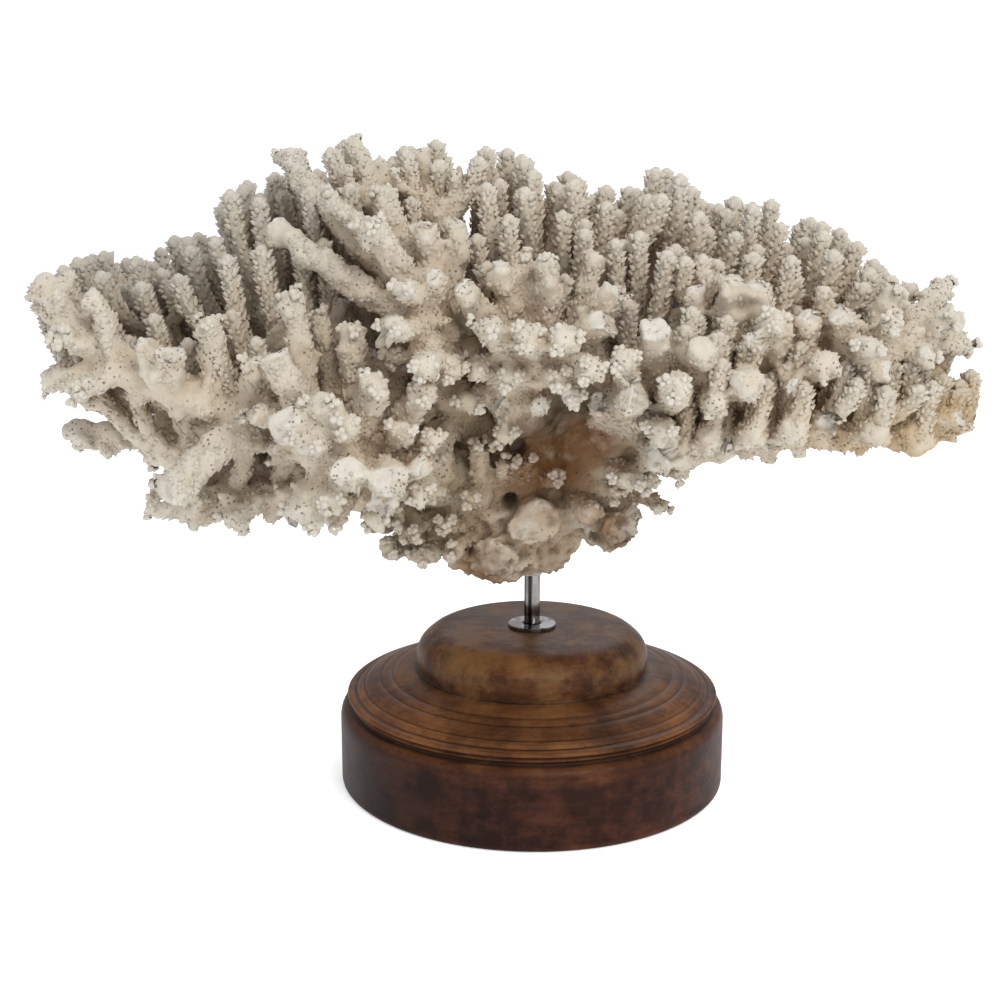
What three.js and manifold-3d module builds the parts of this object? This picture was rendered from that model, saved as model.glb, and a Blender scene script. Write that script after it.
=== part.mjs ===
// A dried table coral on a turned wooden stand, in millimetres, +Z up.
// The origin is the centre of the stand's underside. The side seen first faces -Y, and +X is to its right.
// The coral grew as one piece and is split here at its main forks.
// Each limb carries its own fingers, which rise to one shared canopy.
import * as THREE from 'three';
import { mergeVertices } from 'three/addons/utils/BufferGeometryUtils.js';
import Module from 'manifold-3d';

// Stand: one turned piece of wood with a blind hole for the rod.
const BASE_SEGMENTS = 28;
const DRUM_RADIUS = 97.1;
const DRUM_HEIGHT = 34;
const GROOVE_RADIUS = 91;
const TIER_LIP_RADIUS = 93.5;
const TIER_HEIGHT = 46.2;
const DOME_RADIUS = 58.5;
const DOME_FOOT_HEIGHT = 57.9;
const DOME_TOP_RADIUS = 46;
const BASE_HEIGHT = 77.7;
const BASE_HOLE_BOTTOM = 45;

// Metal: a plain round rod with a large flat washer at its foot and a ring of cement under the coral.
const ROD_RADIUS = 4;
const ROD_SEGMENTS = 12;
const WASHER_SEGMENTS = 20;
const ROD_TOP = 146;
const FIT_GAP = 0.3;
const WASHER_RADIUS = 12;
const WASHER_THICKNESS = 2;
const WASHER_PLAY = 0.3;
const CEMENT_RADIUS = 5.4;
const CEMENT_BOTTOM = 105;
const CEMENT_TOP = 108.7;
const CORAL_SEAT = 109;
const SEAT_CUT_RADIUS = 14;
const SEAT_CUT_BOTTOM = 80;

// Gap that each limb keeps to the limbs that it forks from or passes.
const LIMB_GAP = 0.36;
const POINT_GAP_RATIO = 3;

// Colony seen from above: a flattened oval that the fingers fill.
const COLONY = { x: -14, y: 6, halfLength: 224, front: 112, back: 116, squareness: 2.3 };

// Height of the highest fingers along the colony, as [x, z].
const SKYLINE = [
  [-240, 258], [-222, 263], [-205, 263], [-160, 277], [-150, 294], [-120, 309], [-87, 317], [-6, 314],
  [14, 304], [44, 301], [58, 306], [90, 295], [114, 288], [154, 275], [195, 241], [218, 220],
];

// The canopy falls away towards the front, more on the left than on the right, and towards the back.
const FRONT_FALL = { starts: -20, reach: 85, left: 110, right: 74, bend: 1.2 };
const BACK_FALL = { starts: 38, reach: 85, depth: 46, bend: 1.4 };

// Canopy fingers: one for each point of a triangular grid, moved a little at random.
const FINGER_SPACING = 32;
const FINGER_JITTER = 9;
const FINGER_SHARES = [0, 0.82, 1];
const FINGER_RADII = [4.6, 6.2, 0];
const FINGER_MIN_RISE = 26;
const FINGER_MAX_REACH = 62;
const FINGER_LEAN = 0.2;
const RISE_COST = 0.25;
const FINGER_BEND = { outwards: 0.8, upwards: 0.3 };
const FINGER_SIDES = 5;
const STUB_SIDES = 5;
const LIMB_SIDES = 6;
const STUB_ROOT_RATIO = 0.7;
const TIP_VARIATION = 13;

// Places on the front that stay free of canopy fingers, as [x from, x to, y below which it is free].
const OPEN_FRONT = [
  [-300, -122, -72], [-122, -86, -44], [-86, -34, -30], [-34, 34, -52], [34, 130, -54], [130, 300, -66],
];

// Holdfast: lumps as [centre, half sizes], and broken root ends as [from, to, radius].
const LUMP_FACETS = [7, 5];
const HOLDFAST_LUMPS = [
  [[-12, 2, 142], [46, 38, 28]],
  [[-44, -8, 138], [29, 27, 17]],
  [[20, -8, 146], [30, 27, 18]],
  [[-20, -20, 124], [25, 22, 15]],
  [[-10, 4, 176], [33, 29, 32]],
  [[2, -3, 124], [21, 19, 17]],
];
const HOLDFAST_ROOTS = [
  [[18, -8, 142], [43, -42, 139], 12.5],
  [[0, -6, 142], [0, -48, 143], 12],
  [[-14, -8, 132], [-19, -42, 124], 11],
  [[-40, -8, 138], [-64, -26, 130], 11],
  [[-14, 10, 136], [-24, 40, 128], 12],
  [[10, 10, 142], [34, 34, 136], 11],
];

// Main limbs. Each path starts inside the holdfast, and radii are at its start and end.
// A bare limb carries no canopy fingers.
// Stubs are the thick, mostly broken branchlets, as [from, to, radius] or [from, bend, to, radius].
const LIMBS = [
  {
    name: 'limb_left', radii: [15, 5.5],
    path: [[-30, -10, 160], [-72, -38, 174], [-111, -58, 190], [-140, -70, 203], [-171, -70, 213],
      [-201, -63, 231], [-221, -54, 256]],
    stubs: [
      [[-143, -70, 200], [-142, -78, 239], 7],
      [[-160, -76, 208], [-158, -90, 230], 7],
      [[-190, -66, 216], [-222, -64, 212], 6.5],
      [[-112, -58, 190], [-136, -84, 188], [-158, -98, 169], 9],
      [[-132, -62, 194], [-150, -56, 182], [-175, -56, 176], 6],
    ],
  },
  {
    name: 'limb_front_left', bare: true, radii: [17, 13],
    path: [[-30, -16, 158], [-62, -52, 170], [-84, -80, 182], [-94, -98, 190]],
    stubs: [
      [[-94, -92, 190], [-113, -102, 231], 8],
      [[-92, -92, 190], [-108, -117, 203], 9],
      [[-90, -90, 188], [-90, -112, 209], 8],
      [[-80, -82, 182], [-70, -102, 216], 8],
      [[-72, -72, 178], [-50, -94, 212], 7.5],
      [[-72, -74, 176], [-62, -120, 178], 9],
      [[-82, -82, 180], [-80, -120, 181], 9.5],
      [[-88, -86, 180], [-100, -102, 161], 9.5],
      [[-98, -88, 190], [-106, -76, 250], 6.5],
      [[-82, -76, 182], [-80, -80, 236], 6.5],
      [[-72, -66, 178], [-70, -72, 228], 6.5],
      [[-66, -60, 176], [-60, -66, 222], 6],
    ],
  },
  {
    name: 'limb_left_low', bare: true, radii: [12, 6],
    path: [[-40, -18, 152], [-80, -34, 156], [-112, -42, 156], [-138, -48, 155], [-161, -54, 151]],
    stubs: [
      [[-108, -42, 157], [-116, -54, 147], 6],
      [[-112, -42, 156], [-142, -34, 163], [-177, -40, 157], 6],
    ],
  },
  {
    name: 'limb_left_stub', bare: true, radii: [10, 6.2],
    path: [[-40, -4, 162], [-90, -12, 170], [-141, -15, 175], [-186, -12, 177], [-223, -10, 179]],
    stubs: [
      [[-96, -12, 170], [-140, -8, 166], [-182, -10, 164], 6],
    ],
  },
  {
    name: 'limb_upper_front', radii: [15, 9],
    path: [[-26, -14, 180], [-38, -42, 206], [-44, -62, 230], [-46, -72, 246]],
    stubs: [
      [[-46, -68, 240], [-72, -76, 280], 7.5],
      [[-48, -64, 236], [-86, -62, 258], [-119, -46, 281], 7],
      [[-46, -60, 238], [-86, -42, 278], [-114, -16, 309], 7],
      [[-44, -56, 240], [-66, -32, 280], [-85, -8, 314], 6.5],
      [[-46, -62, 244], [-69, -42, 293], 7],
      [[-44, -62, 240], [-49, -66, 284], 6.5],
      [[-42, -52, 236], [-46, -26, 280], [-54, -4, 313], 6.5],
      [[-44, -66, 236], [-61, -98, 240], 6.5],
      [[-44, -66, 232], [-48, -102, 224], 7],
      [[-34, -34, 200], [-46, -50, 176], 7],
    ],
  },
  {
    name: 'limb_centre_front', radii: [15, 9],
    path: [[-8, -14, 182], [-8, -44, 206], [0, -66, 220], [16, -76, 226]],
    stubs: [
      [[-6, -56, 214], [-34, -86, 258], 7],
      [[-4, -60, 216], [-18, -74, 266], 6.5],
      [[4, -68, 222], [5, -76, 264], 6.5],
      [[0, -66, 220], [-4, -104, 237], 7.5],
      [[10, -72, 222], [11, -108, 237], 7],
      [[14, -74, 224], [28, -98, 244], 7],
      [[14, -72, 224], [34, -84, 257], 7],
      [[-4, -58, 214], [-21, -100, 240], 7],
    ],
  },
  {
    name: 'limb_right_front', radii: [16, 5.5],
    path: [[14, -12, 172], [50, -46, 190], [81, -64, 206], [116, -68, 218], [154, -60, 228], [190, -46, 235]],
    stubs: [
      [[44, -42, 188], [39, -102, 213], 8],
      [[54, -50, 194], [48, -104, 242], 8],
      [[62, -56, 198], [57, -110, 217], 8],
      [[74, -62, 204], [67, -106, 232], 8],
      [[82, -64, 208], [83, -80, 261], 7],
      [[98, -66, 214], [95, -80, 259], 7],
      [[90, -66, 210], [86, -112, 219], 8],
      [[104, -68, 216], [101, -92, 242], 7],
      [[116, -68, 218], [121, -98, 224], 7.5],
      [[134, -64, 222], [130, -88, 246], 7],
      [[128, -66, 220], [153, -88, 220], 6.5],
      [[150, -62, 226], [170, -76, 226], 6],
      [[166, -56, 230], [190, -24, 250], 6],
    ],
  },
  {
    name: 'limb_right_low', bare: true, radii: [12, 5.5],
    path: [[18, -8, 160], [58, -32, 173], [94, -48, 184], [130, -56, 189], [163, -60, 191], [192, -60, 205]],
    stubs: [
      [[160, -60, 190], [193, -56, 188], 7],
      [[154, -60, 191], [169, -76, 184], 6],
      [[136, -56, 188], [147, -90, 194], 8],
      [[106, -50, 184], [110, -96, 196], 7],
      [[56, -34, 174], [54, -84, 182], 8],
      [[78, -42, 180], [74, -88, 191], 7.5],
      [[92, -48, 183], [93, -90, 194], 7],
      [[76, -42, 179], [92, -64, 202], 7.5],
      [[124, -56, 188], [142, -72, 214], 7.5],
      [[154, -60, 191], [176, -70, 213], 7],
    ],
  },
  {
    name: 'limb_left_back', radii: [15, 5.5],
    path: [[-30, 4, 172], [-80, 4, 190], [-130, 8, 206], [-180, 12, 222], [-216, 14, 236]],
    stubs: [
      [[-140, 8, 208], [-180, -24, 214], [-220, -22, 222], 7],
      [[-196, 13, 228], [-234, 4, 242], 6.5],
      [[-180, 12, 222], [-214, 40, 232], 6.5],
    ],
  },
  {
    name: 'limb_back_left', radii: [15, 6],
    path: [[-26, 16, 170], [-68, 44, 194], [-108, 70, 212], [-150, 84, 226], [-180, 82, 238]],
    stubs: [
      [[-108, 70, 212], [-116, 106, 218], 7.5],
      [[-150, 84, 226], [-192, 56, 232], 6.5],
      [[-84, 55, 202], [-80, 104, 212], 8],
    ],
  },
  {
    name: 'limb_back', radii: [16, 7],
    path: [[-8, 18, 176], [-14, 52, 200], [-22, 86, 214], [-28, 110, 224]],
    stubs: [
      [[-16, 62, 204], [18, 96, 214], [30, 116, 222], 8],
      [[-22, 86, 214], [-54, 112, 220], 7.5],
      [[-14, 52, 200], [-50, 74, 206], 7.5],
    ],
  },
  {
    name: 'limb_back_right', radii: [15, 6],
    path: [[12, 14, 172], [50, 42, 194], [86, 70, 208], [122, 86, 218], [152, 78, 226]],
    stubs: [
      [[86, 70, 208], [80, 110, 214], 7.5],
      [[122, 86, 218], [124, 112, 222], 7],
    ],
  },
  {
    name: 'limb_right_back', radii: [15, 5.5],
    path: [[16, 2, 174], [62, 8, 196], [112, 14, 212], [160, 16, 224], [198, 8, 232]],
    stubs: [
      [[120, 14, 214], [164, 44, 222], [192, 46, 226], 7],
      [[100, 13, 208], [112, -26, 216], 7],
      [[150, 16, 222], [176, -16, 228], 6.5],
    ],
  },
  {
    name: 'limb_centre', radii: [19, 11],
    path: [[-10, 4, 190], [-14, 2, 216], [-18, 4, 238]],
    stubs: [
      [[-12, 2, 212], [-50, 26, 238], 8],
      [[-14, 2, 218], [26, 16, 240], 8],
      [[-14, 2, 216], [-52, -8, 240], 7.5],
      [[-14, 2, 218], [22, -24, 240], 7.5],
    ],
  },
];

const WOOD = { color: 0x5a3620, roughness: 0.42, metalness: 0 };
const STEEL = { color: 0x6d6c6b, roughness: 0.28, metalness: 1 };
const CEMENT = { color: 0xb9b5ab, roughness: 0.8, metalness: 0 };
const CORAL = { color: 0xd9d0be, roughness: 0.9, metalness: 0 };

const wasm = await Module();
wasm.setup();

const vector = ([x, y, z]) => new THREE.Vector3(x, y, z);

// The same small whole-number generator gives every variation, so the coral is the same each time.
function chance(index, use) {
  let state = (index * 7919 + use * 104729 + 12345) >>> 0;
  for (let round = 0; round < 3; round += 1) {
    state = (Math.imul(state, 1664525) + 1013904223) >>> 0;
  }
  return state / 4294967296;
}

function solidOf(geometry) {
  geometry.deleteAttribute('normal');
  geometry.deleteAttribute('uv');
  const merged = mergeVertices(geometry, 1e-4);
  const vertProperties = Float32Array.from(merged.attributes.position.array);
  const triVerts = Uint32Array.from(merged.index.array);
  return new wasm.Manifold(new wasm.Mesh({ numProp: 3, vertProperties, triVerts }));
}

function geometryOf(solid) {
  const mesh = solid.getMesh();
  const geometry = new THREE.BufferGeometry();
  geometry.setAttribute('position', new THREE.BufferAttribute(mesh.vertProperties, 3));
  geometry.setIndex(new THREE.BufferAttribute(mesh.triVerts, 1));
  geometry.computeVertexNormals();
  return geometry;
}

function meshOf(name, geometry, finish) {
  const mesh = new THREE.Mesh(geometry, new THREE.MeshStandardMaterial(finish));
  mesh.name = name;
  return mesh;
}

// A solid turned about the vertical axis from [radius, height] points that start and end on the axis.
function turned(profile, segments) {
  const points = profile.map(([radius, height]) => new THREE.Vector2(radius, height));
  const lathe = new THREE.LatheGeometry(points, segments);
  lathe.rotateX(Math.PI / 2);
  return lathe;
}

// A branch is a cylinder whose rings are moved to the points of its route, pointed where it ends in 0.
function branchSolid({ points, radii, sides }, grow) {
  const steps = points.length - 1;
  const isPointed = radii[steps] === 0;
  const tube = new THREE.CylinderGeometry(isPointed ? 0 : 1, 1, 1, sides, steps);
  const along = points.map((point, ring) => {
    const before = points[Math.max(ring - 1, 0)];
    const after = points[Math.min(ring + 1, steps)];
    return after.clone().sub(before).normalize();
  });
  const overall = points[steps].clone().sub(points[0]).normalize();
  const side = new THREE.Vector3(0, 0, 1);
  if (Math.abs(overall.z) > 0.7) {
    side.set(0, 1, 0);
  }
  const position = tube.attributes.position;
  for (let i = 0; i < position.count; i += 1) {
    const ring = Math.round((position.getY(i) + 0.5) * steps);
    const across = new THREE.Vector3().crossVectors(along[ring], side).normalize();
    const other = new THREE.Vector3().crossVectors(across, along[ring]);
    const spread = Math.hypot(position.getX(i), position.getZ(i));
    const scale = spread > 0 ? (radii[ring] + grow) / spread : 0;
    const place = points[ring].clone();
    place.addScaledVector(across, scale * position.getX(i));
    place.addScaledVector(other, scale * position.getZ(i));
    if (ring === 0) {
      place.addScaledVector(along[ring], -grow);
    }
    if (ring === steps) {
      place.addScaledVector(along[ring], isPointed ? grow * POINT_GAP_RATIO : grow);
    }
    position.setXYZ(i, place.x, place.y, place.z);
  }
  return solidOf(tube);
}

function lumpSolid({ centre, half }, grow) {
  const lump = new THREE.SphereGeometry(1, ...LUMP_FACETS);
  lump.scale(half[0] + grow, half[1] + grow, half[2] + grow);
  lump.translate(...centre);
  return solidOf(lump);
}

const unite = (solids) => wasm.Manifold.union(solids);

function largest(solid) {
  const bodies = solid.decompose();
  bodies.sort((a, b) => b.volume() - a.volume());
  return bodies[0];
}

// Canopy height over a place, read from the skyline and lowered towards the front and the back.
function canopyHeight(x, y) {
  let height = SKYLINE[0][1];
  for (let i = 1; i < SKYLINE.length; i += 1) {
    const [x0, z0] = SKYLINE[i - 1];
    const [x1, z1] = SKYLINE[i];
    if (x > x0) {
      height = z0 + (z1 - z0) * Math.min((x - x0) / (x1 - x0), 1);
    }
  }
  const toRight = Math.min(Math.max((x + 30) / 60, 0), 1);
  const frontDepth = FRONT_FALL.left + (FRONT_FALL.right - FRONT_FALL.left) * toRight;
  const forward = Math.max(FRONT_FALL.starts - y, 0) / FRONT_FALL.reach;
  const backward = Math.max(y - BACK_FALL.starts, 0) / BACK_FALL.reach;
  return height - frontDepth * forward ** FRONT_FALL.bend - BACK_FALL.depth * backward ** BACK_FALL.bend;
}

function insideColony(x, y) {
  const depth = y < COLONY.y ? COLONY.front : COLONY.back;
  const u = Math.abs(x - COLONY.x) / COLONY.halfLength;
  const v = Math.abs(y - COLONY.y) / depth;
  return u ** COLONY.squareness + v ** COLONY.squareness <= 1;
}

function isOpenFront(x, y) {
  return OPEN_FRONT.some(([from, to, below]) => x > from && x <= to && y < below);
}

// Every limb path and stub as routes that a finger can grow from.
const routes = [];
LIMBS.forEach((limb, limbIndex) => {
  const points = limb.path.map(vector);
  const [start, end] = limb.radii;
  const radii = points.map((_, i) => start + (end - start) * (i / (points.length - 1)));
  routes.push({ limbIndex, points, radii, sides: LIMB_SIDES });
  limb.stubs.forEach((stub) => {
    const radius = stub[stub.length - 1];
    const stubPoints = stub.slice(0, -1).map(vector);
    const last = stubPoints.length - 1;
    const stubRadii = stubPoints.map((_, i) => radius * (i === 0 ? STUB_ROOT_RATIO : 1 - 0.25 * (i / last)));
    routes.push({ limbIndex, points: stubPoints, radii: stubRadii, sides: STUB_SIDES });
  });
});

// The nearest place that a finger with this tip can start from, counted mostly along the ground.
// The search looks a little towards the middle of the colony, so fingers lean outwards near the rim.
function rootOf(tip) {
  let best = null;
  let bestCost = Infinity;
  const inX = tip.x - FINGER_LEAN * (tip.x - COLONY.x);
  const inY = tip.y - FINGER_LEAN * (tip.y - COLONY.y);
  const offered = routes.filter(({ limbIndex }) => !LIMBS[limbIndex].bare);
  offered.forEach(({ limbIndex, points }) => {
    for (let i = 0; i < points.length - 1; i += 1) {
      for (const share of [0, 0.25, 0.5, 0.75]) {
        const place = points[i].clone().lerp(points[i + 1], share);
        const rise = tip.z - place.z;
        const reach = Math.hypot(inX - place.x, inY - place.y);
        const cost = reach + RISE_COST * rise;
        if (rise > FINGER_MIN_RISE && reach < FINGER_MAX_REACH && cost < bestCost) {
          best = { limbIndex, place };
          bestCost = cost;
        }
      }
    }
  });
  return best;
}

// Tips of the canopy fingers, on a grid that is moved a little at random.
const tips = [];
const rowStep = FINGER_SPACING * Math.sqrt(3) / 2;
for (let row = -6; row <= 6; row += 1) {
  for (let column = -11; column <= 11; column += 1) {
    const index = (row + 50) * 100 + column + 50;
    const shift = Math.abs(row) % 2 === 1 ? 0.5 : 0;
    const x = COLONY.x + (column + shift) * FINGER_SPACING + (chance(index, 1) - 0.5) * FINGER_JITTER;
    const y = COLONY.y + row * rowStep + (chance(index, 2) - 0.5) * FINGER_JITTER;
    if (insideColony(x, y) && !isOpenFront(x, y)) {
      tips.push(new THREE.Vector3(x, y, canopyHeight(x, y) - chance(index, 3) * TIP_VARIATION));
    }
  }
}

// Each finger leaves its root outwards and then turns up to the canopy.
const fingers = [];
const rooted = tips.map((tip) => ({ tip, root: rootOf(tip) })).filter(({ root }) => root);
rooted.forEach(({ tip, root }) => {
  const bend = root.place.clone().lerp(tip, FINGER_BEND.outwards);
  bend.z = root.place.z + FINGER_BEND.upwards * (tip.z - root.place.z);
  const curve = new THREE.QuadraticBezierCurve3(root.place, bend, tip);
  const points = FINGER_SHARES.map((share) => curve.getPoint(share));
  fingers.push({ limbIndex: root.limbIndex, points, radii: FINGER_RADII, sides: FINGER_SIDES });
});

// Holdfast, with a flat seat and a blind hole for the rod.
const lumps = HOLDFAST_LUMPS.map(([centre, half]) => ({ centre, half }));
const roots = HOLDFAST_ROOTS.map(([from, to, radius]) => {
  return { points: [vector(from), vector(to)], radii: [radius, radius * 0.9], sides: STUB_SIDES };
});
const holdfastSolid = (grow) => unite([
  ...lumps.map((lump) => lumpSolid(lump, grow)),
  ...roots.map((root) => branchSolid(root, grow)),
]);
const rodHole = solidOf(turned([
  [0, SEAT_CUT_BOTTOM], [SEAT_CUT_RADIUS, SEAT_CUT_BOTTOM],
  [SEAT_CUT_RADIUS, CORAL_SEAT], [ROD_RADIUS + FIT_GAP, CORAL_SEAT],
  [ROD_RADIUS + FIT_GAP, ROD_TOP + FIT_GAP], [0, ROD_TOP + FIT_GAP],
], ROD_SEGMENTS));
const holdfast = largest(holdfastSolid(0).subtract(rodHole));

const coral = new THREE.Group();
coral.add(meshOf('coral_holdfast', geometryOf(holdfast), CORAL));

// Each limb is cut clear of the holdfast and of the limbs made before it.
let taken = holdfastSolid(LIMB_GAP);
LIMBS.forEach((limb, limbIndex) => {
  const branches = [...routes, ...fingers].filter((branch) => branch.limbIndex === limbIndex);
  const whole = unite(branches.map((branch) => branchSolid(branch, 0)));
  coral.add(meshOf(limb.name, geometryOf(largest(whole.subtract(taken))), CORAL));
  taken = taken.add(unite(branches.map((branch) => branchSolid(branch, LIMB_GAP))));
});

// Stand. The profile climbs from the underside over drum, groove, tier and dome, and ends in the hole.
const baseProfile = [
  [0, 0],
  [DRUM_RADIUS - 1, 0],
  [DRUM_RADIUS, 1.5],
  [DRUM_RADIUS, DRUM_HEIGHT],
  [DRUM_RADIUS - 1.6, DRUM_HEIGHT + 4.5],
  [GROOVE_RADIUS, DRUM_HEIGHT + 5.6],
  [GROOVE_RADIUS, TIER_HEIGHT - 2.2],
  [TIER_LIP_RADIUS, TIER_HEIGHT - 1],
  [TIER_LIP_RADIUS - 7.5, TIER_HEIGHT + 3.4],
  [DOME_RADIUS - 0.8, DOME_FOOT_HEIGHT],
  [DOME_RADIUS, DOME_FOOT_HEIGHT + 5],
  [DOME_RADIUS - 2, DOME_FOOT_HEIGHT + 12],
  [DOME_TOP_RADIUS + 6, DOME_FOOT_HEIGHT + 16.8],
  [DOME_TOP_RADIUS, BASE_HEIGHT],
  [ROD_RADIUS + FIT_GAP, BASE_HEIGHT],
  [ROD_RADIUS + FIT_GAP, BASE_HOLE_BOTTOM],
  [0, BASE_HOLE_BOTTOM],
];
const turnedBase = meshOf('turned_base', geometryOf(solidOf(turned(baseProfile, BASE_SEGMENTS))), WOOD);

const rodBottom = BASE_HOLE_BOTTOM + FIT_GAP;
const rodProfile = [[0, rodBottom], [ROD_RADIUS, rodBottom], [ROD_RADIUS, ROD_TOP], [0, ROD_TOP]];
const rod = meshOf('rod', geometryOf(solidOf(turned(rodProfile, ROD_SEGMENTS))), STEEL);

// A flat ring round the rod, from its inner and outer radius and its two heights.
function ringGeometry(inner, outer, bottom, top, segments) {
  const profile = [[inner, bottom], [outer, bottom], [outer, top], [inner, top], [inner, bottom]];
  return geometryOf(solidOf(turned(profile, segments)));
}

const innerRadius = ROD_RADIUS + FIT_GAP;
const washerHole = innerRadius + WASHER_PLAY;
const washerTop = BASE_HEIGHT + WASHER_THICKNESS;
const washerGeometry = ringGeometry(washerHole, WASHER_RADIUS, BASE_HEIGHT, washerTop, WASHER_SEGMENTS);
const cementGeometry = ringGeometry(innerRadius, CEMENT_RADIUS, CEMENT_BOTTOM, CEMENT_TOP, ROD_SEGMENTS);
const washer = meshOf('washer', washerGeometry, STEEL);
const cement = meshOf('cement_ring', cementGeometry, CEMENT);

const stand = new THREE.Group();
stand.add(turnedBase, washer, rod, cement);

const coralOnStand = new THREE.Group();
coralOnStand.add(stand, coral);

export default coralOnStand;
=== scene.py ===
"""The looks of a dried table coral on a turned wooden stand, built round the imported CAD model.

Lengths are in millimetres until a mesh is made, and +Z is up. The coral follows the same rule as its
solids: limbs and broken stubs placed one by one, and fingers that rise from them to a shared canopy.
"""

import math

import bpy
import numpy as np
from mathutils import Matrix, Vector, noise
from mathutils.bvhtree import BVHTree


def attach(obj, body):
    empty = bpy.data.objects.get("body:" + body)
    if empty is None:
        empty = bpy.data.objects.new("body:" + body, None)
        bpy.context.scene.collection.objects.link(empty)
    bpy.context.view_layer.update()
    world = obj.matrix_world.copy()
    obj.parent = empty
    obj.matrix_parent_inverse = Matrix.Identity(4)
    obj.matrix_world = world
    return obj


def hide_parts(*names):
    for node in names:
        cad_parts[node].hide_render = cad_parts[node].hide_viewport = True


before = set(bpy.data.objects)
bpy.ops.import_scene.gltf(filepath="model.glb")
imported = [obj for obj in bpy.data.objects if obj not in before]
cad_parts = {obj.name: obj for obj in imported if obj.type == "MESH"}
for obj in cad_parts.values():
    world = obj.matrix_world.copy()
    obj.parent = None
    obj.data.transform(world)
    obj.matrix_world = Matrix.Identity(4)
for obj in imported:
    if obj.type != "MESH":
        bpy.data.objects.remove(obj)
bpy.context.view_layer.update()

MM = 0.001

# Camera, in millimetres and degrees, level with the top of the coral and looking a little down.
CAMERA_PLACE = (-17.7, -750.0, 314.9)
CAMERA_TILT = 77.19
CAMERA_LENS = 56.04
CAMERA_SENSOR = 36.0

# Soft light from all round, and the brighter white that the camera sees behind the object.
WORLD_LIGHT = 0.75
WORLD_SEEN = 1.1
WORLD_COLOR = (0.95, 0.97, 1.0, 1.0)

# Lamps, in metres and watts: place, size, energy and colour. They all face one point.
LAMPS_FACE = (0.0, 0.0, 0.2)
LAMPS = {
    "key": ((0.6, -1.1, 1.4), 0.9, 17.0, (1.0, 0.985, 0.96)),
    "fill": ((-1.3, -0.9, 0.8), 1.0, 2.0, (0.96, 0.98, 1.0)),
    "back": ((0.2, 1.2, 1.2), 1.0, 9.0, (0.97, 0.98, 1.0)),
}

# Floor: half its size, how far it lies under the stand, its white and its glow.
FLOOR_HALF_SIZE = 6000.0
FLOOR_DROP = 0.2
FLOOR_WHITE = 0.9
FLOOR_GLOW = 0.42

# Stand, as in the solids.
DRUM_RADIUS = 97.1
DRUM_HEIGHT = 34.0
GROOVE_RADIUS = 91.0
TIER_LIP_RADIUS = 93.5
TIER_HEIGHT = 46.2
DOME_RADIUS = 58.5
DOME_TOP_RADIUS = 46.0
BASE_HEIGHT = 77.7
ROD_RADIUS = 4.0
WASHER_RADIUS = 12.0
WASHER_THICKNESS = 2.0
BASE_HOLE_BOTTOM = 45.0
ROD_TOP = 146.0
FIT_GAP = 0.3
CEMENT_BOTTOM = 105.0
CEMENT_TOP = 108.7

# Colony, as in the solids.
COLONY = {"x": -14, "y": 6, "half_length": 224, "front": 112, "back": 116, "squareness": 2.3}
SKYLINE = [
    (-240, 258), (-222, 263), (-205, 263), (-160, 277), (-150, 294), (-120, 309), (-87, 317), (-6, 314),
    (14, 304), (44, 301), (58, 306), (90, 295), (114, 288), (154, 275), (195, 241), (218, 220),
]
FRONT_FALL = {"starts": -20, "reach": 85, "left": 110, "right": 74, "bend": 1.2}
BACK_FALL = {"starts": 38, "reach": 85, "depth": 46, "bend": 1.4}
BRANCH_SPACING = 32.0
BRANCH_JITTER = 9.0
FINGER_MIN_RISE = 26.0
FINGER_MAX_REACH = 62.0
FINGER_LEAN = 0.2
RISE_COST = 0.25
BEND_OUTWARDS = 0.8
BEND_UPWARDS = 0.3
TIP_VARIATION = 13.0
OPEN_FRONT = [
    (-300, -122, -72), (-122, -86, -44), (-86, -34, -30), (-34, 34, -52), (34, 130, -54), (130, 300, -66),
]

# Fine fingers between the main ones, on a closer grid.
FINGER_SPACING = 15.8
FINGER_JITTER = 7.0
FINE_TIP_RISE = -3.0
FINE_TIP_VARIATION = 19.0
FINE_MIN_RISE = 38.0
FINE_CLEARANCE = 0.55 * FINGER_SPACING
FORK_SHARE = 0.5
FINE_FRONT = 13.0

# Holdfast, as in the solids.
HOLDFAST_LUMPS = [
    ((-12, 2, 142), (46, 38, 28)), ((-44, -8, 138), (29, 27, 17)), ((20, -8, 146), (30, 27, 18)),
    ((-20, -20, 124), (25, 22, 15)), ((-10, 4, 176), (33, 29, 32)), ((2, -3, 124), (21, 19, 17)),
]
HOLDFAST_ROOTS = [
    ((18, -8, 142), (43, -42, 139), 12.5), ((0, -6, 142), (0, -48, 143), 12),
    ((-14, -8, 132), (-19, -42, 124), 11), ((-40, -8, 138), (-64, -26, 130), 11),
    ((-14, 10, 136), (-24, 40, 128), 12), ((10, 10, 142), (34, 34, 136), 11),
]
HOLDFAST_VOXEL = 1.7
SMOOTH_ROOT = 1
CORAL_SEAT = 109.0
SEAT_CUT_RADIUS = 14.0

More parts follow.
